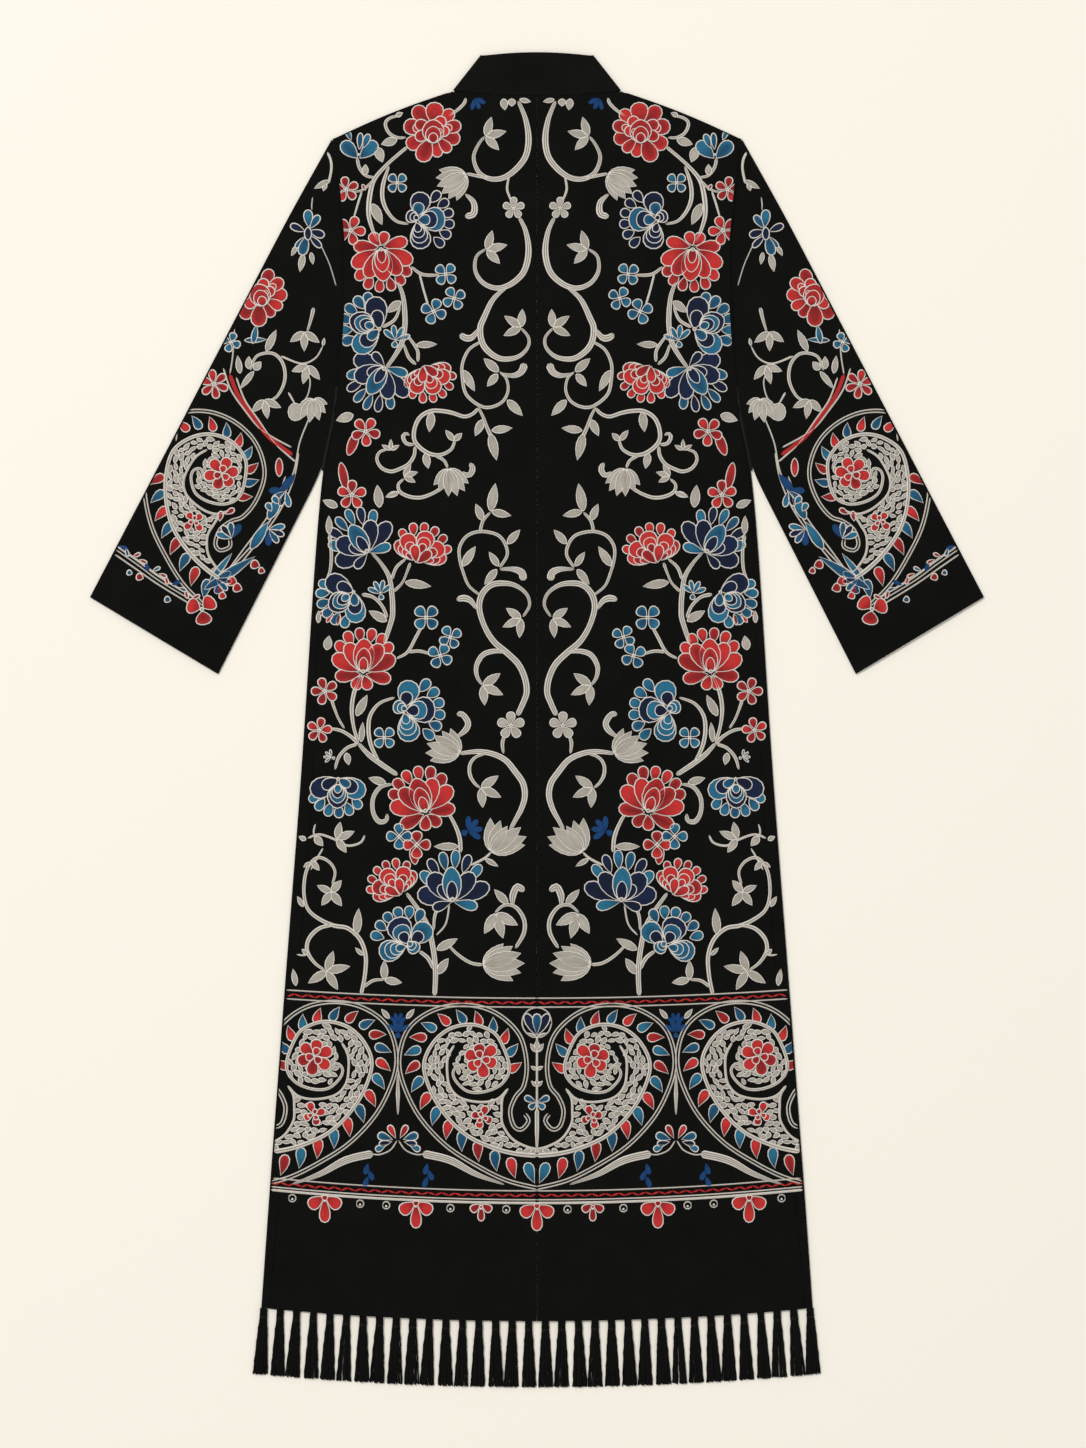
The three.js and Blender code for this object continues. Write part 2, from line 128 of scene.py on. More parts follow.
# A pad's rings, from its rim to its cap: how far in, the share of what is left, and the height
RING = "inset share height"
PAD_RINGS = table(
    RING,
    (0.0000, 0.0, SUNK),
    (0.0006, 0.0, 0.0006),
    (0.0013, 0.0, 0.0003),
    (0.0013, 0.4, 0.0005),
    (0.0013, 0.85, 0.00055),
)
SMALL_RINGS = table(
    RING,
    (0.0000, 0.0, SUNK),
    (0.0004, 0.3, 0.0006),
    (0.0004, 0.75, 0.0005),
)
PAD_ROUND = 14
SMALL_ROUND = 10
SMALL_WIDTH = 0.0046  # pads up to this width have the small rings
INSET_LIMIT = 0.45  # of the pad's width
TEMPLATE_REACH = 0.8  # from the template's rim to its cap, against a radius of 1
TEMPLATE_WELD = 1e-4

# Outlines of the pads: how much each end is drawn to a point, and how deep the far end is notched
SHAPES = {
    "round": {"tail": 0.35, "tip": 0.0, "notch": 0.0},
    "oval": {"tail": 0.1, "tip": 0.1, "notch": 0.0},
    "drop": {"tail": 0.7, "tip": 0.0, "notch": 0.0},
    "petal": {"tail": 0.42, "tip": 0.0, "notch": 0.0},
    "leaf": {"tail": 0.22, "tip": 0.5, "notch": 0.0},
    "heart": {"tail": 0.5, "tip": 0.0, "notch": 0.16},
    "dot": {"tail": 0.0, "tip": 0.0, "notch": 0.0},
}
NOTCH_SPAN = 0.5  # in radians about the far end
STRAIGHT = 0.01  # pads that are bent less are laid straight
LEAST_HALF_LENGTH = 0.0002  # of a pad's innermost ring
LEAST_HALF_WIDTH = 0.0001

# Colours, linear
CREAM = (0.58, 0.535, 0.47)
GREY_CREAM = (0.45, 0.415, 0.36)
DEEP_CREAM = (0.36, 0.33, 0.28)
RIM = (0.72, 0.68, 0.62)
SHADOW = (0.075, 0.068, 0.058)
RED = (0.53, 0.028, 0.026)
DEEP_RED = (0.19, 0.009, 0.011)
BLUE = (0.018, 0.145, 0.250)
DEEP_BLUE = (0.007, 0.048, 0.110)
ROYAL = (0.006, 0.048, 0.160)
NAVY = (0.0045, 0.0130, 0.046)
DEEP_NAVY = (0.003, 0.006, 0.022)
BLACK_CLOTH = (0.0029, 0.0029, 0.0026)
BLACK_THREAD = (0.0040, 0.0039, 0.0036)
FLOOR = (0.93, 0.885, 0.80)
COLLAR_SHADE = 1.25  # the collar's cloth against the body's

# Grain of the finishes: the twill's pitch, and how fine each noise is
TWILL_PITCH = 0.0011
COLLAR_PITCH = 0.0009
SLUB = 900.0
# CLOUDS sizes the cloth's mottling, which also paints the shade and light of its puckers.
CLOUDS = 28.0
FIBRE = 1500.0
PATCHES = 160.0
TASSEL_FIBRE = 2400.0

# Picture and light
PICTURE_HEIGHT = 1448
PIXEL = 0.001075  # what one pixel of the picture covers
PICTURE_CENTRE = (0.0065, -0.0043)
PICTURE_LEVEL = 0.003  # the height that the scale holds for
LENS = 85.0
SENSOR = 36.0
FLOOR_SIZE = 6.0
WINDOW = {"place": (-3.4, 3.8, 8.2), "size": 2.6, "power": 455.0, "colour": (1.0, 0.985, 0.96)}
SKY = (1.0, 0.99, 0.975, 1.0)
SKY_STRENGTH = 0.62

draw = random.Random(11)


def blend_at(rows, column, y):
    """The value of a table's column at a height, straight between its rows."""
    if y <= rows[0]["y"]:
        return rows[0][column]
    for low, high in zip(rows, rows[1:]):
        if y <= high["y"]:
            share = (y - low["y"]) / (high["y"] - low["y"])
            return low[column] + share * (high[column] - low[column])
    return rows[-1][column]


def clamp(value, low=0.0, high=1.0):
    return max(low, min(high, value))


def ease(value, start, end):
    """0 before start, 1 after end and a smooth rise between them."""
    share = clamp((value - start) / (end - start))
    return share * share * (3 - 2 * share)


# Finishes


class Value:
    """A socket of numbers in a finish, so that maths on it reads as plain Python."""

    def __init__(self, finish, socket):
        self.finish = finish
        self.socket = socket

    def maths(self, operation, *others):
        inputs = dict(enumerate((self, *others)))
        node = self.finish.node("ShaderNodeMath", {"operation": operation}, inputs)
        return Value(self.finish, node.outputs[0])

    def __add__(self, other):
        return self.maths("ADD", other)

    __radd__ = __add__

    def __mul__(self, other):
        return self.maths("MULTIPLY", other)

    def __sub__(self, other):
        return self.maths("SUBTRACT", other)

    def __rsub__(self, other):
        return self * -1 + other

    def __truediv__(self, other):
        return self.maths("DIVIDE", other)

    def sine(self):
        return self.maths("SINE")

    def fraction(self):
        return self.maths("FRACT")

    def whole(self):
        return self.maths("FLOOR")

    def size(self):
        return self.maths("ABSOLUTE")

    def power(self, exponent):
        return self.maths("POWER", exponent)

    def ramp(self, start, end):
        """0 at start and 1 at end, smooth between them."""
        settings = {"interpolation_type": "SMOOTHSTEP"}
        inputs = {"Value": self, "From Min": start, "From Max": end}
        node = self.finish.node("ShaderNodeMapRange", settings, inputs)
        return Value(self.finish, node.outputs["Result"])


SOCKETS = {
    "base_color": "Base Color",
    "roughness": "Roughness",
    "normal": "Normal",
    "specular": "Specular IOR Level",
    "sheen": "Sheen Weight",
    "sheen_roughness": "Sheen Roughness",
}


class Finish:
    """A material and the nodes that it is made of."""

    def __init__(self, name):
        self.material = bpy.data.materials.new(name)
        self.material.use_nodes = True
        self.tree = self.material.node_tree
        self.tree.nodes.clear()
        self.surface = self.node("ShaderNodeBsdfPrincipled")
        self.node("ShaderNodeOutputMaterial", {}, {"Surface": self.surface.outputs[0]})

    def node(self, kind, settings=None, inputs=None):
        node = self.tree.nodes.new(kind)
        for name, setting in (settings or {}).items():
            setattr(node, name, setting)
        for name, value in (inputs or {}).items():
            self.feed(node.inputs[name], value)
        return node

    def feed(self, socket, value):
        if isinstance(value, Value):
            value = value.socket
        if isinstance(value, bpy.types.NodeSocket):
            self.tree.links.new(value, socket)
        else:
            socket.default_value = value

    def set(self, **sockets):
        for name, value in sockets.items():
            self.feed(self.surface.inputs[SOCKETS[name]], value)

    def parts(self, socket):
        """The three numbers of a vector."""
        node = self.node("ShaderNodeSeparateXYZ", {}, {"Vector": socket})
        return tuple(Value(self, output) for output in node.outputs)

    def place(self, scale=(1, 1, 1)):
        """Object coordinates, scaled."""
        where = self.node("ShaderNodeTexCoord").outputs["Object"]
        settings = {"operation": "MULTIPLY"}
        return self.node("ShaderNodeVectorMath", settings, {0: where, 1: scale}).outputs[0]

    def noise(self, where, scale, detail=2.0):
        inputs = {"Vector": where, "Scale": scale, "Detail": detail}
        return Value(self, self.node("ShaderNodeTexNoise", {}, inputs).outputs["Fac"])

    def mix(self, share, first, second):
        """A colour between two others."""
        inputs = {"Factor": share, 6: self.opaque(first), 7: self.opaque(second)}
        return self.node("ShaderNodeMix", {"data_type": "RGBA"}, inputs).outputs[2]

    def opaque(self, colour):
        return (*colour, 1.0) if isinstance(colour, tuple) else colour

    def shaded(self, colour, strength):
        """A colour times a number."""
        inputs = {0: colour, "Scale": strength}
        return self.node("ShaderNodeVectorMath", {"operation": "SCALE"}, inputs).outputs[0]

    def bump(self, height, distance, strength):
        inputs = {"Height": height, "Distance": distance, "Strength": strength}
        return self.node("ShaderNodeBump", {}, inputs).outputs[0]


def cloth_finish(name, colour, pitch):
    """Matt black twill, mottled, with painted shade and light of soft puckers."""
    finish = Finish(name)
    x, y, _ = finish.parts(finish.place())
    turn = 2 * math.pi / pitch
    twill = ((x + y) * turn).sine() * 0.5 + 0.5
    weft = ((x - y * 2) * turn * 0.5).sine() * 0.5 + 0.5
    slub = finish.noise(finish.place((1, 0.25, 1)), SLUB)
    # Soft darker and lighter patches: the cloth's own mottling and painted shade and light of its
    # puckers.
    mottle_and_pucker_shade = finish.noise(finish.place(), CLOUDS, 4.0)
    weave = twill * 0.6 + weft * 0.25 + slub * 0.35
    shade = 0.45 + mottle_and_pucker_shade * 1.1 + weave * 0.2
    finish.set(base_color=finish.shaded(colour, shade), roughness=0.78 + slub * 0.12)
    finish.set(normal=finish.bump(weave, 0.00018, 0.55), specular=0.07)
    finish.set(sheen=0.012, sheen_roughness=0.5)
    return finish.material


def chain_rows(across, along):
    """Rows of chain stitch: how high the thread stands, from 0 to 1."""
    row = across / ROW_PITCH
    beside = (row.fraction() - 0.5).size() * 2
    crest = (1.0 - beside * beside).power(0.5)
    phase = along / LINK + beside * 0.35 + row.whole() * 0.37
    link = (phase * (2 * math.pi)).sine() * 0.5 + 0.5
    return crest * (link * 0.34 + 0.66)


def stitch_finish(name, fill, deep, outlined, edged):
    """Chain stitch in one colour. Pads may have a cream outline and bands pale edges. Painted shade
    darkens the grooves of the stitch, the valleys between a band's rows, the groove inside an outline
    and the base of a pad.
    """
    finish = Finish(name)
    stitch = finish.node("ShaderNodeUVMap", {"uv_map": "stitch"}).outputs["UV"]
    along, across, _ = finish.parts(stitch)
    tone = finish.node("ShaderNodeAttribute", {"attribute_name": "tone"})
    own, depth, reach = finish.parts(tone.outputs["Color"])
    height = chain_rows(across, along)
    fibre = finish.noise(finish.place(), FIBRE)
    patchy = finish.noise(finish.place(), PATCHES, 3.0)
    # Painted shade: the thread is darker in the grooves between its links and rows and lighter on their
    # crests; fibre and patchy are its own uneven tone.
    painted_groove_shade_and_tone = 0.50 + height * 0.34 + fibre * 0.22 + patchy * 0.28
    thread = finish.mix(own.ramp(0.2, 1.0) * 0.45, fill, deep)
    if edged:
        thread = finish.mix(depth.ramp(0.35, 0.95), thread, RIM)
        # Painted shade: the valleys between a band's rows are darkened toward SHADOW.
        thread = finish.mix(reach.ramp(0.45, 0.85) * 0.8, thread, SHADOW)
    if outlined:
        # Painted shade: a pad is darker toward its base, so that its tip reads as lit.
        base = (1.0 - reach.ramp(0.05, 0.75)) * 0.75
        eye = depth.ramp(0.55, 0.95) * own.ramp(0.35, 0.6) * 0.7
        thread = finish.mix(base, thread, deep)
        thread = finish.mix(eye, thread, deep)
        rim = 1.0 - across.ramp(OUTLINE - 0.00015, OUTLINE + 0.00015)
        # Painted shade: the groove between a pad's cream outline and its fill is darkened.
        gap = across.ramp(OUTLINE, OUTLINE + 0.0002) * (1.0 - across.ramp(0.0016, 0.0019))
        thread = finish.mix(rim, thread, RIM)
        painted_groove_shade_and_tone = painted_groove_shade_and_tone * (1.0 - gap * 0.55)
    finish.set(base_color=finish.shaded(thread, painted_groove_shade_and_tone), roughness=0.60 + fibre * 0.15)
    finish.set(normal=finish.bump(height + fibre * 0.3, 0.00030, 0.8), specular=0.16)
    finish.set(sheen=0.015, sheen_roughness=0.45)
    return finish.material


def tassel_finish(name, colour):
    """Soft twisted thread."""
    finish = Finish(name)
    x, y, z = finish.parts(finish.place())
    twist = ((x * 2200.0 + y * 1500.0) + z * 900.0).sine() * 0.5 + 0.5
    fibre = finish.noise(finish.place((1, 0.08, 1)), TASSEL_FIBRE)
    shade = 0.6 + twist * 0.3 + fibre * 0.6
    finish.set(base_color=finish.shaded(colour, shade), roughness=0.55 + fibre * 0.2)
    finish.set(normal=finish.bump(twist + fibre, 0.00015, 0.6), specular=0.12)
    return finish.material


black_cloth = cloth_finish("black_twill", BLACK_CLOTH, TWILL_PITCH)
collar_colour = tuple(share * COLLAR_SHADE for share in BLACK_CLOTH)
collar_cloth = cloth_finish("collar_twill", collar_colour, COLLAR_PITCH)
tassel_thread = tassel_finish("tassel_thread", BLACK_THREAD)

# Colours of the embroidery. Outlined ones have a cream line round their pads.
THREADS = table(
    "colour name fill deep outlined edged slot",
    ("cream", "cream_chain_stitch", CREAM, GREY_CREAM, False, True, "cream_thread"),
    ("pale", "cream_leaf_stitch", GREY_CREAM, DEEP_CREAM, True, False, "cream_thread"),
    ("black", "black_seam_stitch", BLACK_THREAD, BLACK_THREAD, False, False, "cloth"),
    ("red", "red_chain_stitch", RED, DEEP_RED, True, False, "red_thread"),
    ("scarlet", "plain_red_stitch", RED, DEEP_RED, False, False, "red_thread"),
    ("blue", "blue_chain_stitch", BLUE, DEEP_BLUE, True, False, "blue_thread"),
    ("royal", "plain_blue_stitch", ROYAL, DEEP_BLUE, False, False, "blue_thread"),
    ("navy", "navy_chain_stitch", NAVY, DEEP_NAVY, True, False, "navy_thread"),
)
threads = {}
for row in THREADS:
    look = stitch_finish(row["name"], row["fill"], row["deep"], row["outlined"], row["edged"])
    threads[row["colour"]] = {"finish": look, "slot": row["slot"]}


# Cloth


def finished(name, shape, material):
    """An object from a bmesh, smooth but for its sharp edges."""
    for face in shape.faces:
        face.smooth = True
    for edge in shape.edges:
        edge.smooth = edge.calc_face_angle(0.0) < SHARP_ANGLE
    mesh = bpy.data.meshes.new(name)
    shape.to_mesh(mesh)
    shape.free()
    mesh.materials.append(material)
    piece = bpy.data.objects.new(name, mesh)
    bpy.context.scene.collection.objects.link(piece)
    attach(piece, "root")
    return piece


def wrinkle(x, y):
    """How far the upper layer stands off its even shape."""
    broad = noise.noise(Vector((x / WRINKLE_SIZE[0], y / WRINKLE_SIZE[1], 0.3)))
    fine = noise.noise(Vector((x / CREASE_SIZE[0], y / CREASE_SIZE[1], 4.1)))
    return WRINKLE * (0.7 + broad) + CREASE * fine


def merged_copy(node):
    """A copy of a panel's mesh with merged points, joined triangles and marked rims."""
    wall = bmesh.new()
    wall.from_mesh(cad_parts[node].data)
    bmesh.ops.remove_doubles(wall, verts=wall.verts, dist=WELD)
    bmesh.ops.join_triangles(
        wall,
        faces=wall.faces,
        angle_face_threshold=FLAT_ANGLE,
        angle_shape_threshold=SQUARE_ANGLE,
    )
    crease = wall.edges.layers.float.new("crease_edge")
    for edge in wall.edges:
        edge[crease] = 1.0 if edge.calc_face_angle(0.0) > RIM_ANGLE else 0.0
    mesh = bpy.data.meshes.new(node + "_coarse")
    wall.to_mesh(mesh)
    wall.free()
    return mesh


def soft_wall(node):
    """A finer copy of a panel's solid whose upper layer is a little uneven."""
    rough = bpy.data.objects.new(node + "_coarse", merged_copy(node))
    bpy.context.scene.collection.objects.link(rough)
    finer = rough.modifiers.new("Finer", "SUBSURF")
    finer.levels = finer.render_levels = WALL_LEVELS
    graph = bpy.context.evaluated_depsgraph_get()
    fine = bmesh.new()
    fine.from_object(rough, graph)
    bpy.data.objects.remove(rough)
    for vertex in fine.verts:
        x, y, z = vertex.co
        vertex.co.z += wrinkle(x, y) * ease(z, CLOTH, CLOTH + AIR)
    return fine


def pale_floor():
    """The surface that the garment lies on."""
    shape = bmesh.new()
    bmesh.ops.create_grid(shape, x_segments=1, y_segments=1, size=FLOOR_SIZE)
    mesh = bpy.data.meshes.new("floor")
    shape.to_mesh(mesh)
    shape.free()
    piece = bpy.data.objects.new("floor", mesh)
    bpy.context.scene.collection.objects.link(piece)
    finish = Finish("pale_floor")
    finish.set(base_color=(*FLOOR, 1.0), roughness=0.9, specular=0.1)
    mesh.materials.append(finish.material)
    return piece


# Each panel: its node, the flat size and the area of its cut, and what it lies on
PANELS = table(
    "node flat area rests_on",
    ("back_left", (0.297, 1.320), 0.334, "front_left"),
    ("back_right", (0.297, 1.320), 0.334, "front_right"),
    ("front_left", (0.310, 1.320), 0.340, "floor"),
    ("front_right", (0.310, 1.320), 0.340, "floor"),
    ("sleeve_left", (0.560, 0.560), 0.1333, "floor"),
    ("sleeve_right", (0.560, 0.560), 0.1333, "floor"),
    ("collar", (0.440, 0.046), 0.0190, "floor"),
)

laid = {"floor": pale_floor()}
cloth_skin = bmesh.new()
for panel in PANELS:
    node = panel["node"]
    wall = soft_wall(node)
    material = collar_cloth if node == "collar" else black_cloth
    piece = finished(node + "_cloth", wall, material)
    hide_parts(node)
    cloth_skin.from_mesh(piece.data)
    laid[node] = piece
for panel in PANELS:
    piece, under = laid[panel["node"]], laid[panel["rests_on"]]

ground_tree = BVHTree.FromBMesh(cloth_skin)
cloth_skin.free()
DOWN = Vector((0, 0, -1))
OVER_ALL = 0.05
NEAR_TOP = 0.003


def ground(x, y):
    """Height of the cloth's top, also over the narrow gap of a seam."""
    heights = []
    for beside in (-SEAM_REACH, SEAM_REACH):
        place = ground_tree.ray_cast(Vector((x + beside, y, OVER_ALL)), DOWN)[0]
        if place is not None:
            heights.append(place.z)
    if heights:
        return max(heights)
    return ground_tree.find_nearest(Vector((x, y, NEAR_TOP)))[0].z


# Where the stitching of each half stays


def shoulder_y(x):
    share = (x - NECK_HALF) / (TIP_HALF - NECK_HALF)
    return NECK_POINT + share * (TIP - NECK_POINT) + SHOULDER_BOW * share * (1 - share)


def body_place(x, y):
    """A place on the body, brought inside its side and shoulder."""
    side = blend_at(BODY_HALF, "x", y) - EDGE_MARGIN
    top = shoulder_y(x) if x > NECK_HALF else NECK_POINT - BACK_NECK_DROP
    return min(x, side), min(y, top - EDGE_MARGIN)


def pushed(x, y, start, end):
    """A place brought to the left of the line from start to end."""
    way = (Vector(end) - Vector(start)).normalized()
    out = Vector((way.y, -way.x))
    beyond = (Vector((x, y)) - Vector(start)).dot(out) + EDGE_MARGIN
    if beyond <= 0:
        return x, y
    return x - out.x * beyond, y - out.y * beyond


def sleeve_place(x, y):
    """A place on the sleeve, brought inside its edges and outside the armhole."""
    x, y = pushed(x, y, CUFF_OUTER, SLEEVE_BEND)
    x, y = pushed(x, y, SLEEVE_BEND, (TIP_HALF, TIP))
    if y > UNDERARM[1]:
        return max(x, blend_at(BODY_HALF, "x", y) + ARMHOLE_MARGIN), y
    return pushed(x, y, UNDERARM, CUFF_INNER)


def anywhere(x, y):
    return x, y


class Half:
    """One half of the body or one sleeve, whose stitching is mirrored where side is -1."""

    def __init__(self, panel, side, inside):
        self.panel = panel
        self.side = side
        self.inside = inside

    def lay(self, place, height):
        x, y = self.inside(place[0], place[1])
        x *= self.side
        return Vector((x, y, ground(x, y) + height))


halves = {
    "body": (Half("back", 1, body_place), Half("back", -1, body_place)),
    "border": (Half("border", 1, body_place), Half("border", -1, body_place)),
    "axis": (Half("border", 1, body_place),),
    "underarm": (Half("underarm", 1, anywhere), Half("underarm", -1, anywhere)),
    "sleeve": (Half("sleeve_right", 1, sleeve_place), Half("sleeve_left", -1, sleeve_place)),
}
threadwork = {}


def thread_of(half, colour):
    """The mesh that takes the stitching of one colour on one panel."""
    key = (half.panel, colour)
    if key not in threadwork:
        threadwork[key] = bmesh.new()
    return threadwork[key]


def holds(part, place):
    """Whether a place of the pattern, in metres, lies on the part's cloth."""
    inside = halves[part][0].inside(place[0], place[1])
    return (Vector(inside) - Vector(place)).length < OFF_CLOTH


# Pads: petals, leaves, drops and dots


def pad_template(rings, round_cells):
    """A closed disc of rings. Its UV holds the share round it and the ring's share."""
    pad = bmesh.new()
    pad.loops.layers.uv.new("stitch")
    pad.verts.layers.float_color.new("tone")
    cells = len(rings) - 1
    bmesh.ops.create_grid(pad, x_segments=round_cells, y_segments=cells, size=1, calc_uvs=True)
    for vertex in pad.verts:
        turn = math.pi * (1 + vertex.co.x)
        ring = (1 + vertex.co.y) / 2
        radius = 1 - ring * TEMPLATE_REACH
        vertex.co = (radius * math.cos(turn), radius * math.sin(turn), 0)
    bmesh.ops.remove_doubles(pad, verts=pad.verts, dist=TEMPLATE_WELD)
    rims = [edge for edge in pad.edges if edge.is_boundary]
    bmesh.ops.holes_fill(pad, edges=rims)
    bmesh.ops.recalc_face_normals(pad, faces=pad.faces)
    stitch = pad.loops.layers.uv.active
    for face in pad.faces:
        if len(face.verts) > 4:
            outer = face.verts[0].co.length > 0.9
            for loop in face.loops:
                loop[stitch].uv = (0.0, 0.0 if outer else 1.0)
    mesh = bpy.data.meshes.new("pad")
    pad.to_mesh(mesh)
    pad.free()
    return {"mesh": mesh, "rings": rings}


PAD = pad_template(PAD_RINGS, PAD_ROUND)
SMALL_PAD = pad_template(SMALL_RINGS, SMALL_ROUND)


def lean_of(shape, along):
    """A pad's width at a place along it, before it is set against its peak."""
    return ((1 + along) / 2) ** shape["tail"] * ((1 - along) / 2) ** shape["tip"]


for outline in SHAPES.values():
    samples = [math.pi * k / 48 for k in range(1, 48)]
    outline["peak"] = max(math.sin(t) * lean_of(outline, math.cos(t)) for t in samples)


def pad_place(turn, inset, length, width, shape, bend):
    """A point of a pad whose base is at 0 and whose far end lies along +X."""
    cosine = clamp(math.cos(turn), -1, 1)
    notch = 1 - shape["notch"] * math.exp(-((turn / NOTCH_SPAN) ** 2))
    a = length / 2 + max(length / 2 - inset, LEAST_HALF_LENGTH) * cosine * notch
    wide = max(width / 2 - inset, LEAST_HALF_WIDTH)
    b = wide * math.sin(turn) * lean_of(shape, cosine) / shape["peak"]
    if abs(bend) < STRAIGHT:
        return a, b
    radius = length / bend
    angle = a / radius
    return (radius - b) * math.sin(angle), radius - (radius - b) * math.cos(angle)


def ring_insets(rings, width):
    """How far inside the rim each ring of a pad lies."""
    insets = []
    for ring in rings:
        inset = ring["inset"] + ring["share"] * max(width / 2 - ring["inset"], 0)
        insets.append(min(inset, INSET_LIMIT * width))
    return insets


def pad(part, colour, x, y, degrees, length, width, shape="leaf", layer=0, bend=0.0, tone=None):
    """A closed pad of stitching from its base outward, on both halves. Millimetres."""
    base = Vector((x, y)) * MILLI
    way = Vector((math.cos(math.radians(degrees)), math.sin(math.radians(degrees))))
    if not holds(part, base + way * (length * MILLI) / 2):
        return
    spec = {
        "base": base,
        "way": way,
        "length": length * MILLI,
        "width": width * MILLI,
        "outline": SHAPES[shape],
        "rise": layer * LAYER,
        "bend": bend,
        "tone": draw.random() if tone is None else tone,
    }
    for half in halves[part]:
        lay_pad(half, thread_of(half, colour), spec)


def lay_pad(half, target, spec):
    """A pad on one half, added to the mesh of its colour."""
    length, width, way = spec["length"], spec["width"], spec["way"]
    template = PAD if width > SMALL_WIDTH else SMALL_PAD
    rings = template["rings"]
    cells = len(rings) - 1
    insets = ring_insets(rings, width)
    perimeter = math.pi * (length + width) / 2
    across = Vector((-way.y, way.x))
    first_vertex, first_face = len(target.verts), len(target.faces)
    target.from_mesh(template["mesh"])
    target.verts.ensure_lookup_table()
    target.faces.ensure_lookup_table()
    tones = target.verts.layers.float_color["tone"]
    stitch = target.loops.layers.uv["stitch"]
    for vertex in target.verts[first_vertex:]:
        turn = math.atan2(vertex.co.y, vertex.co.x)
        ring = round((1 - vertex.co.xy.length) / TEMPLATE_REACH * cells)
        a, b = pad_place(turn, insets[ring], length, width, spec["outline"], spec["bend"])
        place = spec["base"] + way * a + across * b
        vertex[tones] = (spec["tone"], ring / cells, a / length, 1)
        vertex.co = half.lay(place, rings[ring]["height"] + spec["rise"])
    for face in target.faces[first_face:]:
        for loop in face.loops:
            u, v = loop[stitch].uv
            loop[stitch].uv = (u * perimeter, insets[round(v * cells)])


# Stems and lines


def curved(points):
    """Close places on a smooth curve through the points."""
    ends = [Vector(point) for point in (points[0], *points, points[-1])]
    fine = []
    for before, start, end, after in zip(ends, ends[1:], ends[2:], ends[3:]):
        lead = (end - before) / 2
        trail = (after - start) / 2
        rise = end - start
        for k in range(CURVE_CUTS):
            t = k / CURVE_CUTS
            bow = t * (3 * rise - 2 * lead - trail + t * (lead + trail - 2 * rise))
            fine.append(start + t * (lead + bow))
    return [*fine, ends[-1]]


def smooth_path(points, step):
    """Places at an even step along a smooth curve through the points."""
    fine = curved(points)
    lengths = [0.0]
    for start, end in zip(fine, fine[1:]):
        lengths.append(lengths[-1] + (end - start).length)
    count = max(3, round(lengths[-1] / step))
    places = []
    k = 0
    for n in range(count + 1):
        goal = lengths[-1] * n / count
        while k < len(fine) - 2 and lengths[k + 1] < goal:
            k += 1
        share = (goal - lengths[k]) / max(lengths[k + 1] - lengths[k], 1e-9)
        places.append(fine[k].lerp(fine[k + 1], clamp(share)))
    return places


def width_at(widths, share):
    at = share * (len(widths) - 1)
    k = min(int(at), len(widths) - 2)
    return widths[k] + (at - k) * (widths[k + 1] - widths[k])


def stem(part, colour, points, widths, layer=0, offset=0.0):
    """A band of chain-stitch rows along a smooth path, on both halves. Millimetres."""
    places = smooth_path([Vector(point) * MILLI for point in points], STEM_STEP)
    count = len(places) - 1
    widths = [width * MILLI for width in widths]
    if len(widths) == 1:
        widths = widths * 2
    run = []
    for k, place in enumerate(places):
        way = (places[min(k + 1, count)] - places[max(k - 1, 0)]).normalized()
        aside = Vector((-way.y, way.x))
        place = place + aside * offset * MILLI
        if holds(part, place):
            run.append({"place": place, "aside": aside, "width": width_at(widths, k / count)})
        if not holds(part, place) or k == count:
            if len(run) > 2:
                band(part, colour, run, layer)
            run = []


def band(part, colour, run, layer):
    """One closed band of stitching through the places of a run."""
    rows = max(1, round(max(row["width"] for row in run) / STEM_ROW))
    tone = draw.random()
    for half in halves[part]:
        lay_band(half, thread_of(half, colour), run, 2 * rows, tone, layer * LAYER)


def lay_band(half, target, run, columns, tone, rise):
    """A band on one half, added to the mesh of its colour. Every other column is a crest."""
    count = len(run) - 1
    shape = bmesh.new()
    stitch = shape.loops.layers.uv.new("stitch")
    tones = shape.verts.layers.float_color.new("tone")
    bmesh.ops.create_grid(shape, x_segments=count, y_segments=columns + 1, size=1, calc_uvs=True)
    for face in shape.faces:
        for loop in face.loops:
            u, v = loop[stitch].uv
            loop[stitch].uv = (u * count * STEM_STEP, v * (columns + 1) / 2 * ROW_PITCH)
    for vertex in shape.verts:
        k = round((1 + vertex.co.x) / 2 * count)
        column = round((1 + vertex.co.y) / 2 * (columns + 1)) % (columns + 1)
        rounding = STEM_END if k in (0, count) else 1.0
        beside = run[k]["width"] * rounding * (column / columns - 0.5)
        height = STEM_CREST if column % 2 else STEM_FOOT
        if column in (0, columns):
            height = SUNK
        valley = 1.0 if column % 2 == 0 and 0 < column < columns else 0.0
        vertex[tones] = (tone, abs(2 * column / columns - 1), valley, 1)
        vertex.co = half.lay(run[k]["place"] + run[k]["aside"] * beside, height + rise)
    bmesh.ops.remove_doubles(shape, verts=shape.verts, dist=BAND_WELD)
    bmesh.ops.holes_fill(shape, edges=[edge for edge in shape.edges if edge.is_boundary])
    scratch = bpy.data.meshes.new("band")
    shape.to_mesh(scratch)
    shape.free()
    target.from_mesh(scratch)
    bpy.data.meshes.remove(scratch)


# Motifs, in millimetres


def each(motif, where, rows, **common):
    """The motif for each row of a table."""
    for row in rows:
        motif(where, **common, **row)


def polar(centre, degrees, distance):
    angle = math.radians(degrees)
    return centre[0] + distance * math.cos(angle), centre[1] + distance * math.sin(angle)


def ring_line(part, x, y, radius, width):
    """A line of stitching round a circle."""
    circle = [polar((x, y), 40 * k, radius) for k in range(10)]
    stem(part, "cream", circle, (width,))


def dot(part, colour, x, y, size, layer=0):
    pad(part, colour, x - size / 2, y, 0, size, size, "dot", layer=layer)


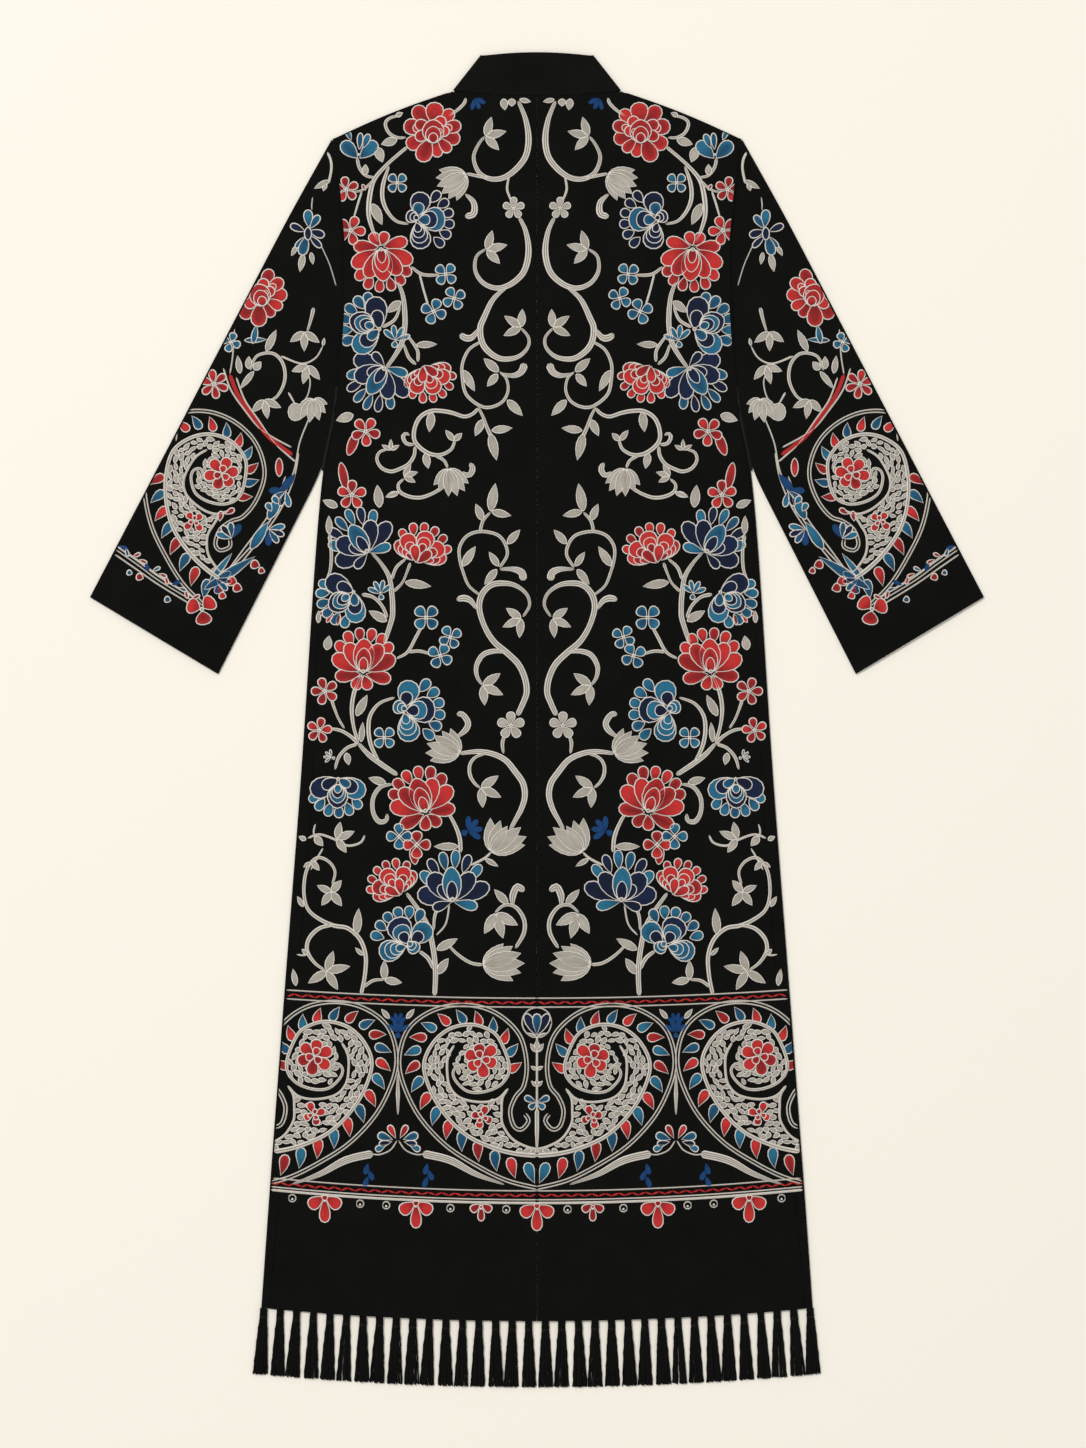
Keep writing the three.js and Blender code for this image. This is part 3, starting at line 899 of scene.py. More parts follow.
# Kinds of large flower, open toward angle 0, against a radius of 1. A petal is moved by start along
# its angle, from its kind's heart on the axis or from its own x, y. nest is how many copies lie in
# each other. hue 0 and 1 are the two colours of the flower, 2 and 3 take them by turns.
HEARTS = {
    "rose": 0.0,
    "peony": -0.62,
    "shell": -0.8,
    "bell": -0.8,
    "lotus": -0.6,
    "snail": -0.5,
    "cup": -0.55,
}
PETAL = "angle start length width shape hue nest layer x y"
KINDS = {
    "rose": table(
        PETAL,
        (95, 0.25, 0.8, 0.66, "round", 0, 1, 1),
        (55, 0.25, 0.86, 0.58, "round", 0, 1, 0),
        (14, 0.25, 0.8, 0.6, "round", 0, 2, 1),
        (-30, 0.2, 0.85, 0.56, "drop", 0, 1, 0),
        (-68, 0.25, 0.88, 0.62, "round", 0, 1, 1),
        (-103, 0.2, 0.72, 0.42, "drop", 0, 1, 0),
        (-131, 0.2, 0.74, 0.42, "drop", 0, 1, 1),
        (-162, 0.25, 0.76, 0.54, "round", 0, 1, 0),
        (166, 0.25, 0.78, 0.5, "round", 0, 2, 1),
        (133, 0.25, 0.8, 0.5, "round", 0, 1, 0),
        (128, 0.0, 0.66, 0.46, "round", 0, 1, 3),
        (30, 0.0, 0.7, 0.46, "round", 0, 1, 3),
        (-20, 0.0, 0.66, 0.44, "round", 0, 1, 4),
        (178, 0.0, 0.6, 0.42, "round", 0, 2, 4),
        (90, 0.0, 0.86, 0.8, "oval", 0, 3, 5, -0.02, -0.42),
    ),
    "peony": table(
        PETAL,
        (150, 0.05, 0.6, 0.44, "petal", 0, 1, 0),
        (-158, 0.05, 0.56, 0.42, "petal", 0, 1, 2),
        (98, 0.08, 0.92, 0.5, "petal", 0, 1, 1),
        (-100, 0.08, 0.92, 0.5, "petal", 0, 1, 1),
        (62, 0.15, 1.1, 0.6, "petal", 0, 1, 2),
        (-60, 0.15, 1.12, 0.6, "petal", 0, 1, 3),
        (42, 0.75, 0.72, 0.44, "petal", 0, 1, 0),
        (24, 1.0, 0.6, 0.4, "petal", 0, 1, 1),
        (7, 1.06, 0.56, 0.38, "petal", 0, 1, 0),
        (-10, 1.06, 0.56, 0.38, "petal", 0, 1, 1),
        (-26, 0.98, 0.6, 0.4, "petal", 0, 1, 0),
        (-42, 0.75, 0.72, 0.44, "petal", 0, 1, 1),
        (30, 0.02, 1.2, 0.6, "petal", 0, 1, 4),
        (-30, 0.02, 1.2, 0.6, "petal", 0, 1, 5),
        (0, 0.02, 1.22, 0.78, "oval", 0, 3, 5),
    ),
    "shell": table(
        PETAL,
        (46, 1.0, 0.62, 0.4, "round", 0, 1, 1),
        (28, 1.16, 0.58, 0.4, "round", 0, 1, 0),
        (11, 1.22, 0.56, 0.4, "round", 0, 1, 1),
        (-6, 1.22, 0.56, 0.4, "round", 0, 1, 0),
        (-23, 1.16, 0.58, 0.4, "round", 0, 1, 1),
        (-42, 1.0, 0.62, 0.4, "round", 0, 1, 0),
        (58, 0.3, 1.0, 0.56, "petal", 0, 3, 1),
        (-60, 0.2, 1.1, 0.6, "petal", 0, 4, 1),
        (36, 0.52, 0.88, 0.74, "round", 0, 2, 3),
        (-38, 0.46, 0.9, 0.74, "round", 0, 2, 4),
        (2, 0.46, 1.0, 0.8, "round", 0, 3, 6),
        (30, 0.05, 0.78, 0.46, "petal", 0, 1, 8),
        (-24, 0.05, 0.78, 0.46, "petal", 0, 1, 9),
    ),
    "bell": table(
        PETAL,
        (44, 0.06, 1.45, 0.9, "petal", 0, 1, 1),
        (-46, 0.06, 1.4, 0.9, "petal", 0, 1, 1),
        (-24, 1.2, 0.72, 0.38, "petal", 0, 1, 0),
        (20, 0.7, 0.95, 0.46, "round", 0, 1, 2),
        (2, 0.55, 1.05, 0.42, "round", 0, 1, 3),
    ),
    "lotus": table(
        PETAL,
        (78, 0.1, 1.02, 0.62, "round", 1, 1, 1),
        (49, 0.55, 0.8, 0.4, "round", 0, 1, 0),
        (31, 0.85, 0.66, 0.34, "round", 1, 1, 0),
        (14, 0.95, 0.62, 0.32, "round", 0, 1, 0),
        (-2, 0.98, 0.62, 0.32, "round", 0, 1, 0),
        (-18, 0.92, 0.62, 0.32, "round", 1, 1, 0),
        (-36, 0.8, 0.64, 0.34, "round", 0, 1, 0),
        (-64, 0.1, 1.15, 0.56, "round", 1, 1, 1),
        (42, 0.0, 1.12, 0.66, "round", 1, 2, 2),
        (-34, 0.0, 1.1, 0.58, "round", 1, 1, 2),
        (4, 0.0, 1.08, 0.62, "oval", 2, 2, 4),
        (112, 0.0, 0.66, 0.34, "drop", 1, 1, 2),
        (-100, 0.0, 0.8, 0.36, "drop", 0, 1, 2),
    ),
    "snail": table(
        PETAL,
        (52, 0.92, 0.6, 0.42, "round", 0, 1, 1),
        (33, 0.98, 0.56, 0.42, "round", 0, 1, 0),
        (14, 1.0, 0.54, 0.42, "round", 0, 1, 1),
        (-5, 1.0, 0.54, 0.42, "round", 0, 1, 0),
        (-24, 0.98, 0.54, 0.42, "round", 0, 1, 1),
        (-43, 0.92, 0.58, 0.42, "round", 0, 1, 0),
        (74, 0.0, 1.05, 0.84, "round", 2, 2, 2, -0.52, 0.15),
        (-76, 0.0, 1.1, 0.86, "round", 0, 4, 3, -0.5, -0.05),
        (4, 0.0, 1.12, 1.0, "round", 3, 3, 4, -0.45, 0.02),
        (165, 0.0, 0.58, 0.54, "round", 0, 3, 9, -0.36, 0.08),
    ),
    "cup": table(
        PETAL,
        (50, 0.88, 0.6, 0.42, "round", 0, 1, 0),
        (33, 0.94, 0.6, 0.42, "round", 0, 1, 1),
        (15, 0.98, 0.6, 0.42, "round", 0, 1, 0),
        (-3, 1.0, 0.58, 0.42, "round", 0, 1, 1),
        (-21, 0.98, 0.58, 0.42, "round", 0, 1, 0),
        (-39, 0.92, 0.58, 0.42, "round", 0, 1, 1),
        (60, 0.0, 1.25, 0.86, "round", 1, 2, 2),
        (-60, 0.0, 1.25, 0.86, "round", 2, 3, 2),
        (0, 0.2, 1.0, 0.86, "oval", 3, 4, 5),
    ),
}
FLOWER_COLOURS = {"red": ("red", "red"), "blue": ("blue", "navy"), "navy": ("navy", "blue")}


def flower(part, kind, x, y, radius, turn, colours, flip=1):
    """A large flower of one of the kinds, open toward turn."""
    hues = FLOWER_COLOURS[colours]
    for petal in KINDS[kind]:
        base = Vector((petal.get("x", HEARTS[kind]), petal.get("y", 0.0) * flip)) * radius
        base.rotate(Matrix.Rotation(math.radians(turn), 2))
        angle = turn + petal["angle"] * flip
        start = polar((x + base.x, y + base.y), angle, petal["start"] * radius)
        for k in range(petal["nest"]):
            less = 1 - 0.8 * k / petal["nest"]
            hue = petal["hue"] if petal["hue"] < 2 else (petal["hue"] + k) % 2
            size = (petal["length"] * less * radius, petal["width"] * less * radius)
            layer = petal["layer"] + k
            pad(part, hues[hue], *start, angle, *size, petal["shape"], layer=layer)
    if kind != "rose":
        heart = polar((x, y), turn, -0.62 * radius)
        pad(part, "pale", *heart, turn, 0.16 * radius, 0.16 * radius, "dot", layer=8)


def blossom(part, x, y, radius, turn, colour, count):
    """A small flower of rounded petals."""
    for k in range(count):
        angle = turn + 360 * k / count
        base = polar((x, y), angle, 0.08 * radius)
        size = (0.94 * radius, (3.9 / (count + 0.6)) * radius)
        pad(part, colour, *base, angle, *size, "petal", layer=1)
    dot(part, "pale", x, y, 0.28 * radius, layer=2)


def trio(part, x, y, turn, spread, size):
    """Three pointed leaves at the end of a scroll."""
    for side, length in ((0, 1.0), (-spread, 0.96), (spread, 0.9)):
        pad(part, "pale", x, y, turn + side, length * size, 0.42 * size, layer=1)


def tulip(part, x, y, petals):
    """A fan of pointed petals, each given by its direction and length, the middle ones in front."""
    middle = (len(petals) - 1) / 2
    for k, (angle, length) in enumerate(petals):
        layer = 3 - abs(k - middle)
        pad(part, "pale", x, y, angle, length, 0.34 * length + 2.5, layer=layer)


def sprig(part, x, y, turn, size, colour="royal"):
    """A small tuft of blue stitches."""
    for spread in (-58, -18, 22, 62):
        pad(part, colour, x, y, turn + spread, size, 0.42 * size, "round", tone=0.2)
    pad(part, colour, x, y, turn + 180, 0.5 * size, 0.46 * size, "round", tone=0.2)


# Layout of the body: flowers
FLOWERS = table(
    "kind x y radius turn colours flip",
    ("rose", 112, 632, 31, 0, "red", 1),
    ("peony", 166, 489, 30, -95, "red", 1),
    ("shell", 115, 364, 24, -113, "red", -1),
    ("shell", 123, 187, 26, 108, "red", 1),
    ("peony", 186, 69, 31, 92, "red", -1),
    ("peony", 125, -81, 32, 72, "red", 1),
    ("shell", 156, -173, 24, 58, "red", -1),
    ("bell", 191, 617, 18, 92, "blue", 1),
    ("snail", 116, 536, 27, 180, "navy", -1),
    ("cup", 184, 425, 29, 20, "blue", 1),
    ("lotus", 172, 362, 32, -62, "blue", 1),
    ("lotus", 191, 197, 33, 62, "blue", -1),
    ("cup", 209, 129, 27, -35, "blue", 1),
    ("snail", 128, 9, 29, 180, "blue", -1),
    ("cup", 214, -78, 27, -88, "blue", 1),
    ("lotus", 90, -174, 35, 92, "blue", -1),
    ("snail", 146, -230, 28, 60, "blue", 1),
)
BLOSSOMS = table(
    "x y radius turn colour count",
    (205, 570, 14, 10, "red", 5),
    (200, 526, 16, 40, "red", 5),
    (184, 310, 16, 50, "red", 5),
    (199, 242, 16, 20, "red", 5),
    (228, 31, 15, 0, "red", 5),
    (234, -11, 14, 30, "red", 5),
    (129, -134, 15, 90, "red", 4),
    (150, 577, 12, 45, "blue", 4),
    (98, 479, 13, 40, "blue", 4),
    (89, 453, 13, 60, "blue", 4),
    (111, 439, 14, 20, "blue", 4),
    (119, 110, 15, 45, "blue", 4),
    (93, 89, 13, 60, "blue", 4),
    (104, 69, 14, 30, "blue", 4),
    (164, -19, 13, 45, "blue", 4),
    (148, -125, 14, 0, "blue", 4),
    (25, 550, 12, 90, "pale", 5),
    (28, -6, 15, 90, "pale", 5),
)
LONG_DROPS = table(
    "x y degrees length width colour",
    (193, 310, -69, 28, 12, "red"),
    (205, 247, 79, 31, 11, "red"),
    (133, -134, -96, 22, 11, "red"),
    (184, 569, 60, 8, 5, "red"),
    (212, 114, -78, 13, 6, "red"),
    (219, 115, -55, 13, 6, "red"),
    (225, 119, -35, 12, 6, "red"),
)
TRIOS = table(
    "x y turn spread size",
    (55, 627, 166, 60, 23),
    (54, 505, 166, 60, 23),
    (17, 422, 34, 60, 22),
    (17, 109, -25, 60, 22),
    (58, 37, 205, 60, 24),
    (60, -73, 205, 60, 24),
    (44, -208, -106, 46, 28),
    (157, 290, 90, 60, 12),
    (143, 262, 164, 44, 16),
)
TULIPS = table(
    "x y petals",
    (76, 586, ((10, 30), (-6, 33), (-22, 34), (-38, 34), (-54, 33), (-70, 30))),
    (95, 270, ((-48, 24), (-68, 27), (-90, 30), (-108, 31), (-126, 30), (-144, 27))),
    (83, -36, ((70, 29), (52, 31), (35, 34), (17, 37), (1, 37), (-14, 33))),
    (50, -141, ((90, 36), (108, 35), (124, 33), (142, 42), (158, 42), (170, 38))),
    (58, -263, ((134, 32), (148, 38), (163, 43), (178, 45), (-168, 42), (-152, 37))),
)
SPRIGS = table(
    "x y turn size colour",
    (67, 668, 222, 13, "royal"),
    (152, 408, 100, 17, "blue"),
    (168, 136, 80, 15, "blue"),
    (221, -40, 20, 9, "blue"),
    (74, -119, 150, 16, "royal"),
)
LEAVES = table(
    "x y degrees length width",
    (41, 374, 42, 22, 10),
    (42, 372, -50, 18, 9),
    (79, 376, -118, 26, 10),
    (32, 344, -134, 24, 10),
    (58, 323, -65, 20, 9.5),
    (49, 311, 173, 23, 9),
    (50, 308, -103, 30, 11),
    (89, 300, 51, 15, 7),
    (89, 300, 136, 12, 7),
    (113, 331, -83, 22, 10),
    (148, 245, -24, 15, 6),
    (120, 287, -101, 17.5, 9),
    (130, 403, 178, 23, 8),
    (50, 224, 100, 31, 11.5),
    (58, 214, 67, 20, 9),
    (49, 224, -168, 22, 9),
    (80, 165, 123, 26, 10),
    (32, 189, 132, 21, 9),
    (41, 165, 56, 19, 8),
    (43, 162, -51, 21.5, 9),
    (84, -136, 0, 27, 9),
    (108, -247, 152, 26, 10),
    (107, -273, 125, 21, 10),
    (56, -149, -150, 17, 6),
    (31, -198, 47, 22, 9),
    (194, -231, 95, 29, 10),
    (164, -279, 90, 21, 9),
    (164, -279, -170, 19.5, 9),
    (215, -128, 101, 19, 9),
    (215, -128, 156, 21, 9),
    (215, -128, -125, 18, 9),
    (150, 624, -17, 18.5, 10),
    (172, 616, -110, 18, 11),
    (185, 585, 94, 12.5, 8),
    (177, 555, -115, 25.5, 11),
    (146, 450, -38, 20, 10),
    (197, 328, -18, 20, 11),
    (214, 229, 24, 18, 9),
    (169, 228, 84, 25, 11),
    (150, 245, -23, 14, 6),
    (223, 199, 88, 21, 8),
    (142, 148, -171, 29, 10),
    (161, 106, 30, 23, 10),
    (226, 75, 100, 16, 10),
    (194, 4, 117, 26, 10),
    (189, -24, 95, 22, 7),
    (205, -35, -102, 14, 8),
    (162, -68, 17, 20, 9),
    (221, -185, 25, 17, 8),
    (221, -185, 131, 17, 9),
    (221, -185, -54, 18, 9),
    (221, -185, -127, 19, 9.5),
    (239, -125, -131, 14, 9),
    (248, -129, 25, 9, 6),
    (242, -152, -130, 13, 7),
    (243, -153, -33, 10, 5),
    (251, -201, 60, 13.5, 6),
    (246, -252, 40, 9, 6),
    (259, -286, 80, 19, 7),
    (187, -253, 45, 12, 5),
    (235, 104, 92, 14, 6),
    (152, 649, 155, 9, 6),
    (226, -270, 108, 23, 10),
    (226, -270, 168, 26, 10),
    (226, -270, -121, 23.5, 10),
    (226, -270, -33, 24, 10),
    (36, 668, -98, 13, 9),
    (27, 668, -90, 9, 9),
    (19, 667, 192, 13, 6),
)

# Layout of the body: stems, with their widths from the first point to the last
STEMS = table(
    "points widths",
    (
        ((20, 665), (12, 645), (9, 622), (14, 602), (31, 585), (48, 581), (62, 588), (68, 604),
         (63, 618), (56, 627)),
        (4, 7.2, 6.6, 5, 3),
    ),
    (((48, 582), (61, 584), (76, 587)), (4.5, 4, 3.5)),
    (((30, 584), (32, 570), (27, 557)), (3, 3.4, 3)),
    (((77, 565), (68, 556), (68, 544), (77, 541)), (3, 6.4, 7.8, 7)),
    (
        ((19, 540), (12, 525), (9, 503), (14, 482), (27, 469), (42, 464), (57, 469), (66, 482),
         (65, 498), (55, 506)),
        (4, 7.2, 6.6, 5, 3),
    ),
    (
        ((32, 466), (47, 452), (57, 432), (61, 421), (59, 406), (51, 395), (38, 388), (21, 390),
         (10, 400), (9, 411), (17, 421)),
        (4, 6, 7, 7, 6, 4, 3),
    ),
    (((61, 422), (70, 411), (78, 411), (82, 415)), (2.5, 6, 8, 7)),
    (
        ((61, 406), (73, 398), (80, 383), (80, 367), (76, 350), (62, 338), (50, 336), (37, 342),
         (31, 354), (33, 367), (40, 374)),
        (3.5, 4, 4, 3),
    ),
    (((39, 372), (26, 370), (17, 374), (13, 383)), (3, 5, 7.5, 9)),
    (((63, 336), (58, 326), (54, 315), (49, 304)), (3, 4, 5)),
    (
        ((63, 335), (69, 329), (78, 326), (91, 330), (102, 332), (114, 332), (125, 326),
         (131, 315), (132, 302), (126, 293), (115, 286), (103, 285), (92, 291), (88, 301)),
        (4, 5, 5, 5, 3.5),
    ),
    (((132, 296), (140, 297), (144, 304), (141, 308), (137, 306)), (4, 4.5, 5, 3)),
    (
        ((131, 294), (132, 284), (138, 275), (147, 270), (157, 267), (167, 271), (172, 280),
         (169, 288), (160, 291)),
        (4, 4.5, 4.5, 4, 3),
    ),
    (
        ((143, 259), (149, 253), (147, 245), (137, 240), (125, 239), (113, 243), (103, 249),
         (95, 256)),
        (3, 4.5, 4.5, 4, 5),
    ),
    (((109, 284), (100, 279), (96, 271)), (4, 3.5)),
    (((82, 266), (73, 263), (69, 270), (72, 276)), (4, 6, 7, 5)),
    (
        ((149, 470), (144, 456), (142, 438), (142, 422), (145, 406), (151, 394), (162, 378)),
        (4, 6, 6, 4),
    ),
    (((141, 415), (133, 405), (128, 396), (128, 385)), (3, 4, 4)),
    (((143, 404), (138, 390), (130, 382)), (3, 4, 4)),
    (((147, 444), (153, 430), (166, 422)), (3, 4, 4)),
    (((76, 671), (78, 663), (86, 655), (95, 649)), (4, 4, 3)),
    (((147, 650), (158, 647), (163, 641), (159, 631), (150, 626), (141, 626)), (3, 4, 4, 3)),
    (
        ((139, 616), (151, 606), (162, 596), (174, 582), (179, 567), (181, 545), (177, 528),
         (171, 514)),
        (4, 4, 5, 6, 5, 3),
    ),
    (((159, 595), (165, 577), (166, 561), (161, 547), (151, 536), (138, 533)), (3, 5, 5, 4, 3)),
    (((174, 581), (184, 572), (192, 568), (203, 568)), (4, 3, 2)),
    (((188, 568), (192, 556), (198, 535)), (3, 3, 2)),
    (((193, 604), (191, 594), (184, 585), (174, 583)), (4, 4, 3)),
    (((135, 487), (126, 480), (118, 478), (105, 478)), (3, 4, 4, 3)),
    (((126, 479), (122, 463), (117, 446)), (3,)),
    (((61, 202), (58, 214), (50, 223)), (4, 4, 3)),
    (
        ((61, 134), (73, 144), (79, 158), (83, 173), (83, 186), (76, 197), (65, 202), (53, 202),
         (41, 198), (34, 189), (32, 177), (40, 164)),
        (3, 3.5, 4, 4, 4, 3.5),
    ),
    (((40, 162), (25, 162), (16, 158), (15, 150)), (3, 5, 8, 9)),
    (
        ((15, 111), (8, 123), (11, 135), (22, 144), (35, 147), (49, 145), (59, 135), (62, 120),
         (56, 100), (46, 84), (32, 72), (20, 60), (13, 45), (11, 30), (15, 18), (21, 5)),
        (3, 4, 6.5, 7, 6, 7, 7, 7, 6),
    ),
    (((65, 119), (71, 128), (79, 131), (86, 129)), (3, 6, 8, 6)),
    (((34, 73), (46, 74), (58, 70), (65, 58), (64, 46), (58, 37)), (4, 6, 6, 5, 3)),
    (((33, -13), (37, -24), (36, -36)), (3.5, 4.5, 3)),
    (
        ((83, -36), (65, -34), (49, -36), (34, -43), (23, -56), (15, -68), (13, -82), (17, -96),
         (24, -109), (29, -119)),
        (4, 6, 6.5, 7, 7, 6, 4),
    ),
    (((55, -36), (66, -40), (72, -48), (72, -59), (67, -68), (61, -73)), (3, 4, 4.5, 3)),
    (((87, -19), (77, -11), (74, -3), (80, 6), (86, 6)), (3, 7, 7, 6)),
    (
        ((178, 180), (168, 169), (159, 154), (156, 136), (155, 120), (156, 108), (164, 83)),
        (3, 5, 6, 6, 5),
    ),
    (((141, 173), (151, 164), (156, 151)), (3, 4, 4)),
    (((136, 169), (140, 158), (145, 147), (154, 138)), (4, 3, 3, 4)),
    (((188, 135), (176, 132), (166, 122), (161, 110)), (5, 4, 4, 4)),
    (((223, 199), (221, 180), (222, 162), (226, 151)), (5, 4, 4, 3)),
    (((151, 66), (139, 73), (130, 89), (122, 104)), (3, 4, 4, 3.5)),
    (((138, 73), (126, 74), (112, 70)), (4, 4, 3)),
    (((188, 49), (196, 31), (199, 12), (197, -7), (192, -24)), (4, 5, 5, 4, 4)),
    (((221, 22), (214, 3), (207, -9)), (4, 3, 3)),
    (((226, -9), (212, -11), (201, -17), (192, -25)), (3, 4, 4, 5)),
    (((192, -25), (181, -37), (168, -47), (150, -59)), (4, 6, 6, 5)),
    (((170, -45), (178, -28), (181, -11), (179, 5), (169, 18), (153, 24)), (4, 5, 5, 4, 3)),
    (((193, -26), (204, -30), (213, -40), (217, -53)), (4, 4, 4, 3)),
    (
        ((155, -69), (168, -72), (176, -84), (176, -99), (170, -109), (162, -108), (161, -101)),
        (3, 5, 5, 5, 6, 4),
    ),
    (((108, -93), (96, -100), (88, -113), (83, -127), (82, -142)), (3, 4, 5, 5)),
    (((110, -296), (109, -270), (112, -243), (119, -217), (140, -186)), (5.5, 6, 6, 5, 4)),
    (((111, -268), (117, -256), (127, -248)), (4, 5, 4)),
    (((111, -226), (109, -208), (99, -194)), (3, 4, 4)),
    (((94, -198), (98, -219), (108, -231)), (2.5,)),
    (((97, -240), (85, -252), (71, -261), (58, -263)), (3, 4, 4)),
    (((23, -245), (14, -229), (14, -214), (23, -201), (35, -199), (45, -207)), (4, 5, 5, 4, 3)),
    (((26, -200), (26, -189), (21, -179), (14, -184)), (3, 8, 8, 7)),
    (((49, -142), (57, -149), (71, -156)), (3, 3.5, 3)),
    (
        ((189, -295), (185, -275), (184, -254), (190, -236), (203, -224), (218, -221),
         (232, -215), (245, -205), (250, -191), (250, -173), (246, -158), (236, -148),
         (224, -152), (217, -163), (220, -177)),
        (4.5, 5, 5, 4, 4, 3),
    ),
    (((218, -220), (234, -224), (245, -235), (247, -248), (239, -261), (228, -269)), (4, 5, 4.5, 3)),
    (((186, -287), (176, -280), (164, -279)), (4, 4, 3)),
    (((246, -127), (234, -123), (218, -128), (204, -135), (190, -132), (185, -124)), (3, 3.5, 3)),
    (((238, -112), (240, -119), (239, -126)), (2.5,)),
    (((230, -138), (236, -148), (243, -161)), (2.5,)),
    (((258, -252), (252, -253), (246, -252)), (2.5,)),
)

each(flower, "body", FLOWERS)
each(blossom, "body", BLOSSOMS)
each(pad, "body", LONG_DROPS, shape="oval")
each(trio, "body", TRIOS)
each(tulip, "body", TULIPS)
each(sprig, "body", SPRIGS)
each(pad, "body", LEAVES, colour="pale", layer=0.5)
each(stem, "body", STEMS, colour="cream")

# Border above the hem: a paisley for each half period, mirrored about its two axes

PERIOD = 149.4
BORDER_TOP = -299.0
ZIGZAG = -303.9
UNDER_ZIGZAG = -308.6
BORDER_HEIGHT = 207
BORDER_FOOT = -519
BORDER_HALF = 280
BORDER_DROP = 9.5  # how much higher its top line is at the sides
HEM_BOW = 0.018  # what a line is bowed more for each millimetre that it is lower
DASHES = 41
DASH_START = 1
DASH_PITCH = 7.2
DASH_TILT = 20
DASH_RISE = 1.4  # half of what a dash climbs
DASH = {"length": 8.6, "width": 2.4, "shape": "oval"}
PAISLEY_CENTRE = (71, -364)


def border_y(x, y):
    """Height of a border line, more bowed toward the hem."""
    bow = BORDER_DROP + HEM_BOW * (BORDER_TOP - y)
    return y + bow * (x / BORDER_HALF) ** 2


def border_line(y, width):
    points = [(k * 20, border_y(k * 20, y)) for k in range(16)]
    stem("border", "cream", points, (width,))


def zigzag(y):
    """Red dashes laid to and fro between two lines."""
    for k in range(DASHES):
        x = DASH_START + k * DASH_PITCH
        way = 1 if k % 2 else -1
        start = border_y(x, y) - way * DASH_RISE
        tone = draw.uniform(0.5, 1.2)
        pad("border", "scarlet", x, start, way * DASH_TILT, **DASH, tone=tone)


PAISLEY_EDGE = (
    (0, -503), (33, -494.5), (66, -478), (98, -457), (125, -428), (141, -398), (148, -371),
    (144, -344), (132, -325), (109, -311), (82, -306), (55, -310), (33, -322.5), (17, -342),
    (11, -370), (14, -393), (23, -405), (28.6, -420), (25, -436), (16.6, -440), (9, -431),
    (13, -423.5),
)
PAISLEY_HEART = (
    (0, -468), (22, -466), (46, -460), (74, -447), (96, -427), (113, -401), (121.5, -372),
    (113, -349), (96, -333), (74, -327), (55, -331), (41, -342), (29.6, -372), (37, -390),
    (55, -399), (74, -399), (87, -388), (90, -378), (84, -372), (77, -378), (80, -385),
)
CHANNEL = (
    (31, -396), (42, -407), (60, -410.5), (82, -406), (93.5, -394), (96.5, -377), (95.5, -362),
    (89, -349.5),
)
BAND_TOP = ((31, -396), (37, -406), (38, -420), (37, -434), (27, -449.5), (12, -458), (0, -461))
RED_FLOWERS = table("x y radius count", (60, -364, 19, 6), (59, -427, 13, 4))
LINE_PITCH = 1.6  # from the middle of the paisley's double edge to each of its lines
DROP_PITCH = 21.5
DROP_AHEAD = 3  # from a place on the edge to the drop's base
DROP_INWARD = 4.2
DROP_AIM = (0.69, 0.72)  # along the edge and inward
DROP_LENGTH = (18.8, 6)  # of the upper drops, and what the lowest ones have more
DROP_WIDTH = (11.0, 1.6)
DROP_BEND = 0.4
LACE_PITCH = 7.6
LACE_ROW = 0.87  # distance of the rows against the pitch
LACE_SHIFT = 0.9
LACE_MARGIN = 2.4
LACE_FOOT = -470
LACE_ROWS = 24
LACE_COLUMNS = 18
LACE_TURN = 50
LACE_LENGTH = (8.0, 12.0)
LACE_WIDTH = (4.8, 7.0)
LACE_LAYERS = (0, 0.6, 1.2)

PAISLEYS = table(
    "part to scale turn flip",
    ("border", PAISLEY_CENTRE, 1.0, 0.0, 1),
    ("border", (2 * PERIOD - PAISLEY_CENTRE[0], -361), 1.0, 0.0, -1),
    ("sleeve", (347, 270), 0.94, 31.5, 1),
)


def placed(unit, place):
    """A place of the first paisley, moved to another one."""
    away = (Vector(place) - Vector(PAISLEY_CENTRE)) * unit["scale"]
    away.x *= unit["flip"]
    away.rotate(Matrix.Rotation(math.radians(unit["turn"]), 2))
    return away + Vector(unit["to"])


def turned(unit, degrees):
    """A direction in the first paisley, turned as in another one."""
    own = degrees if unit["flip"] > 0 else 180 - degrees
    return own + unit["turn"]


def encloses(outline, place):
    """Whether a place lies inside a closed outline."""
    crossings = 0
    for start, end in zip(outline, (*outline[1:], outline[0])):
        if (start[1] > place[1]) != (end[1] > place[1]):
            share = (place[1] - start[1]) / (end[1] - start[1])
            crossings += start[0] + share * (end[0] - start[0]) > place[0]
    return crossings % 2 == 1


LACE_EDGE = (*PAISLEY_HEART[:13], *BAND_TOP)
CHANNEL_EDGE = (*CHANNEL, (84, -352), (89, -364), *reversed(PAISLEY_HEART[13:18]))


def in_lace(x, y):
    """Whether a leaf of the lace may lie at a place, clear of the edges and the red flowers."""
    margin = LACE_MARGIN
    for aside, rise in ((0, 0), (margin, 0), (-margin, 0), (0, margin), (0, -margin)):
        near = (x + aside, y + rise)
        if not encloses(LACE_EDGE, near) or encloses(CHANNEL_EDGE, near):
            return False
    for spot in RED_FLOWERS:
        if (Vector((x, y)) - Vector((spot["x"], spot["y"]))).length < spot["radius"] * 0.8:
            return False
    return True


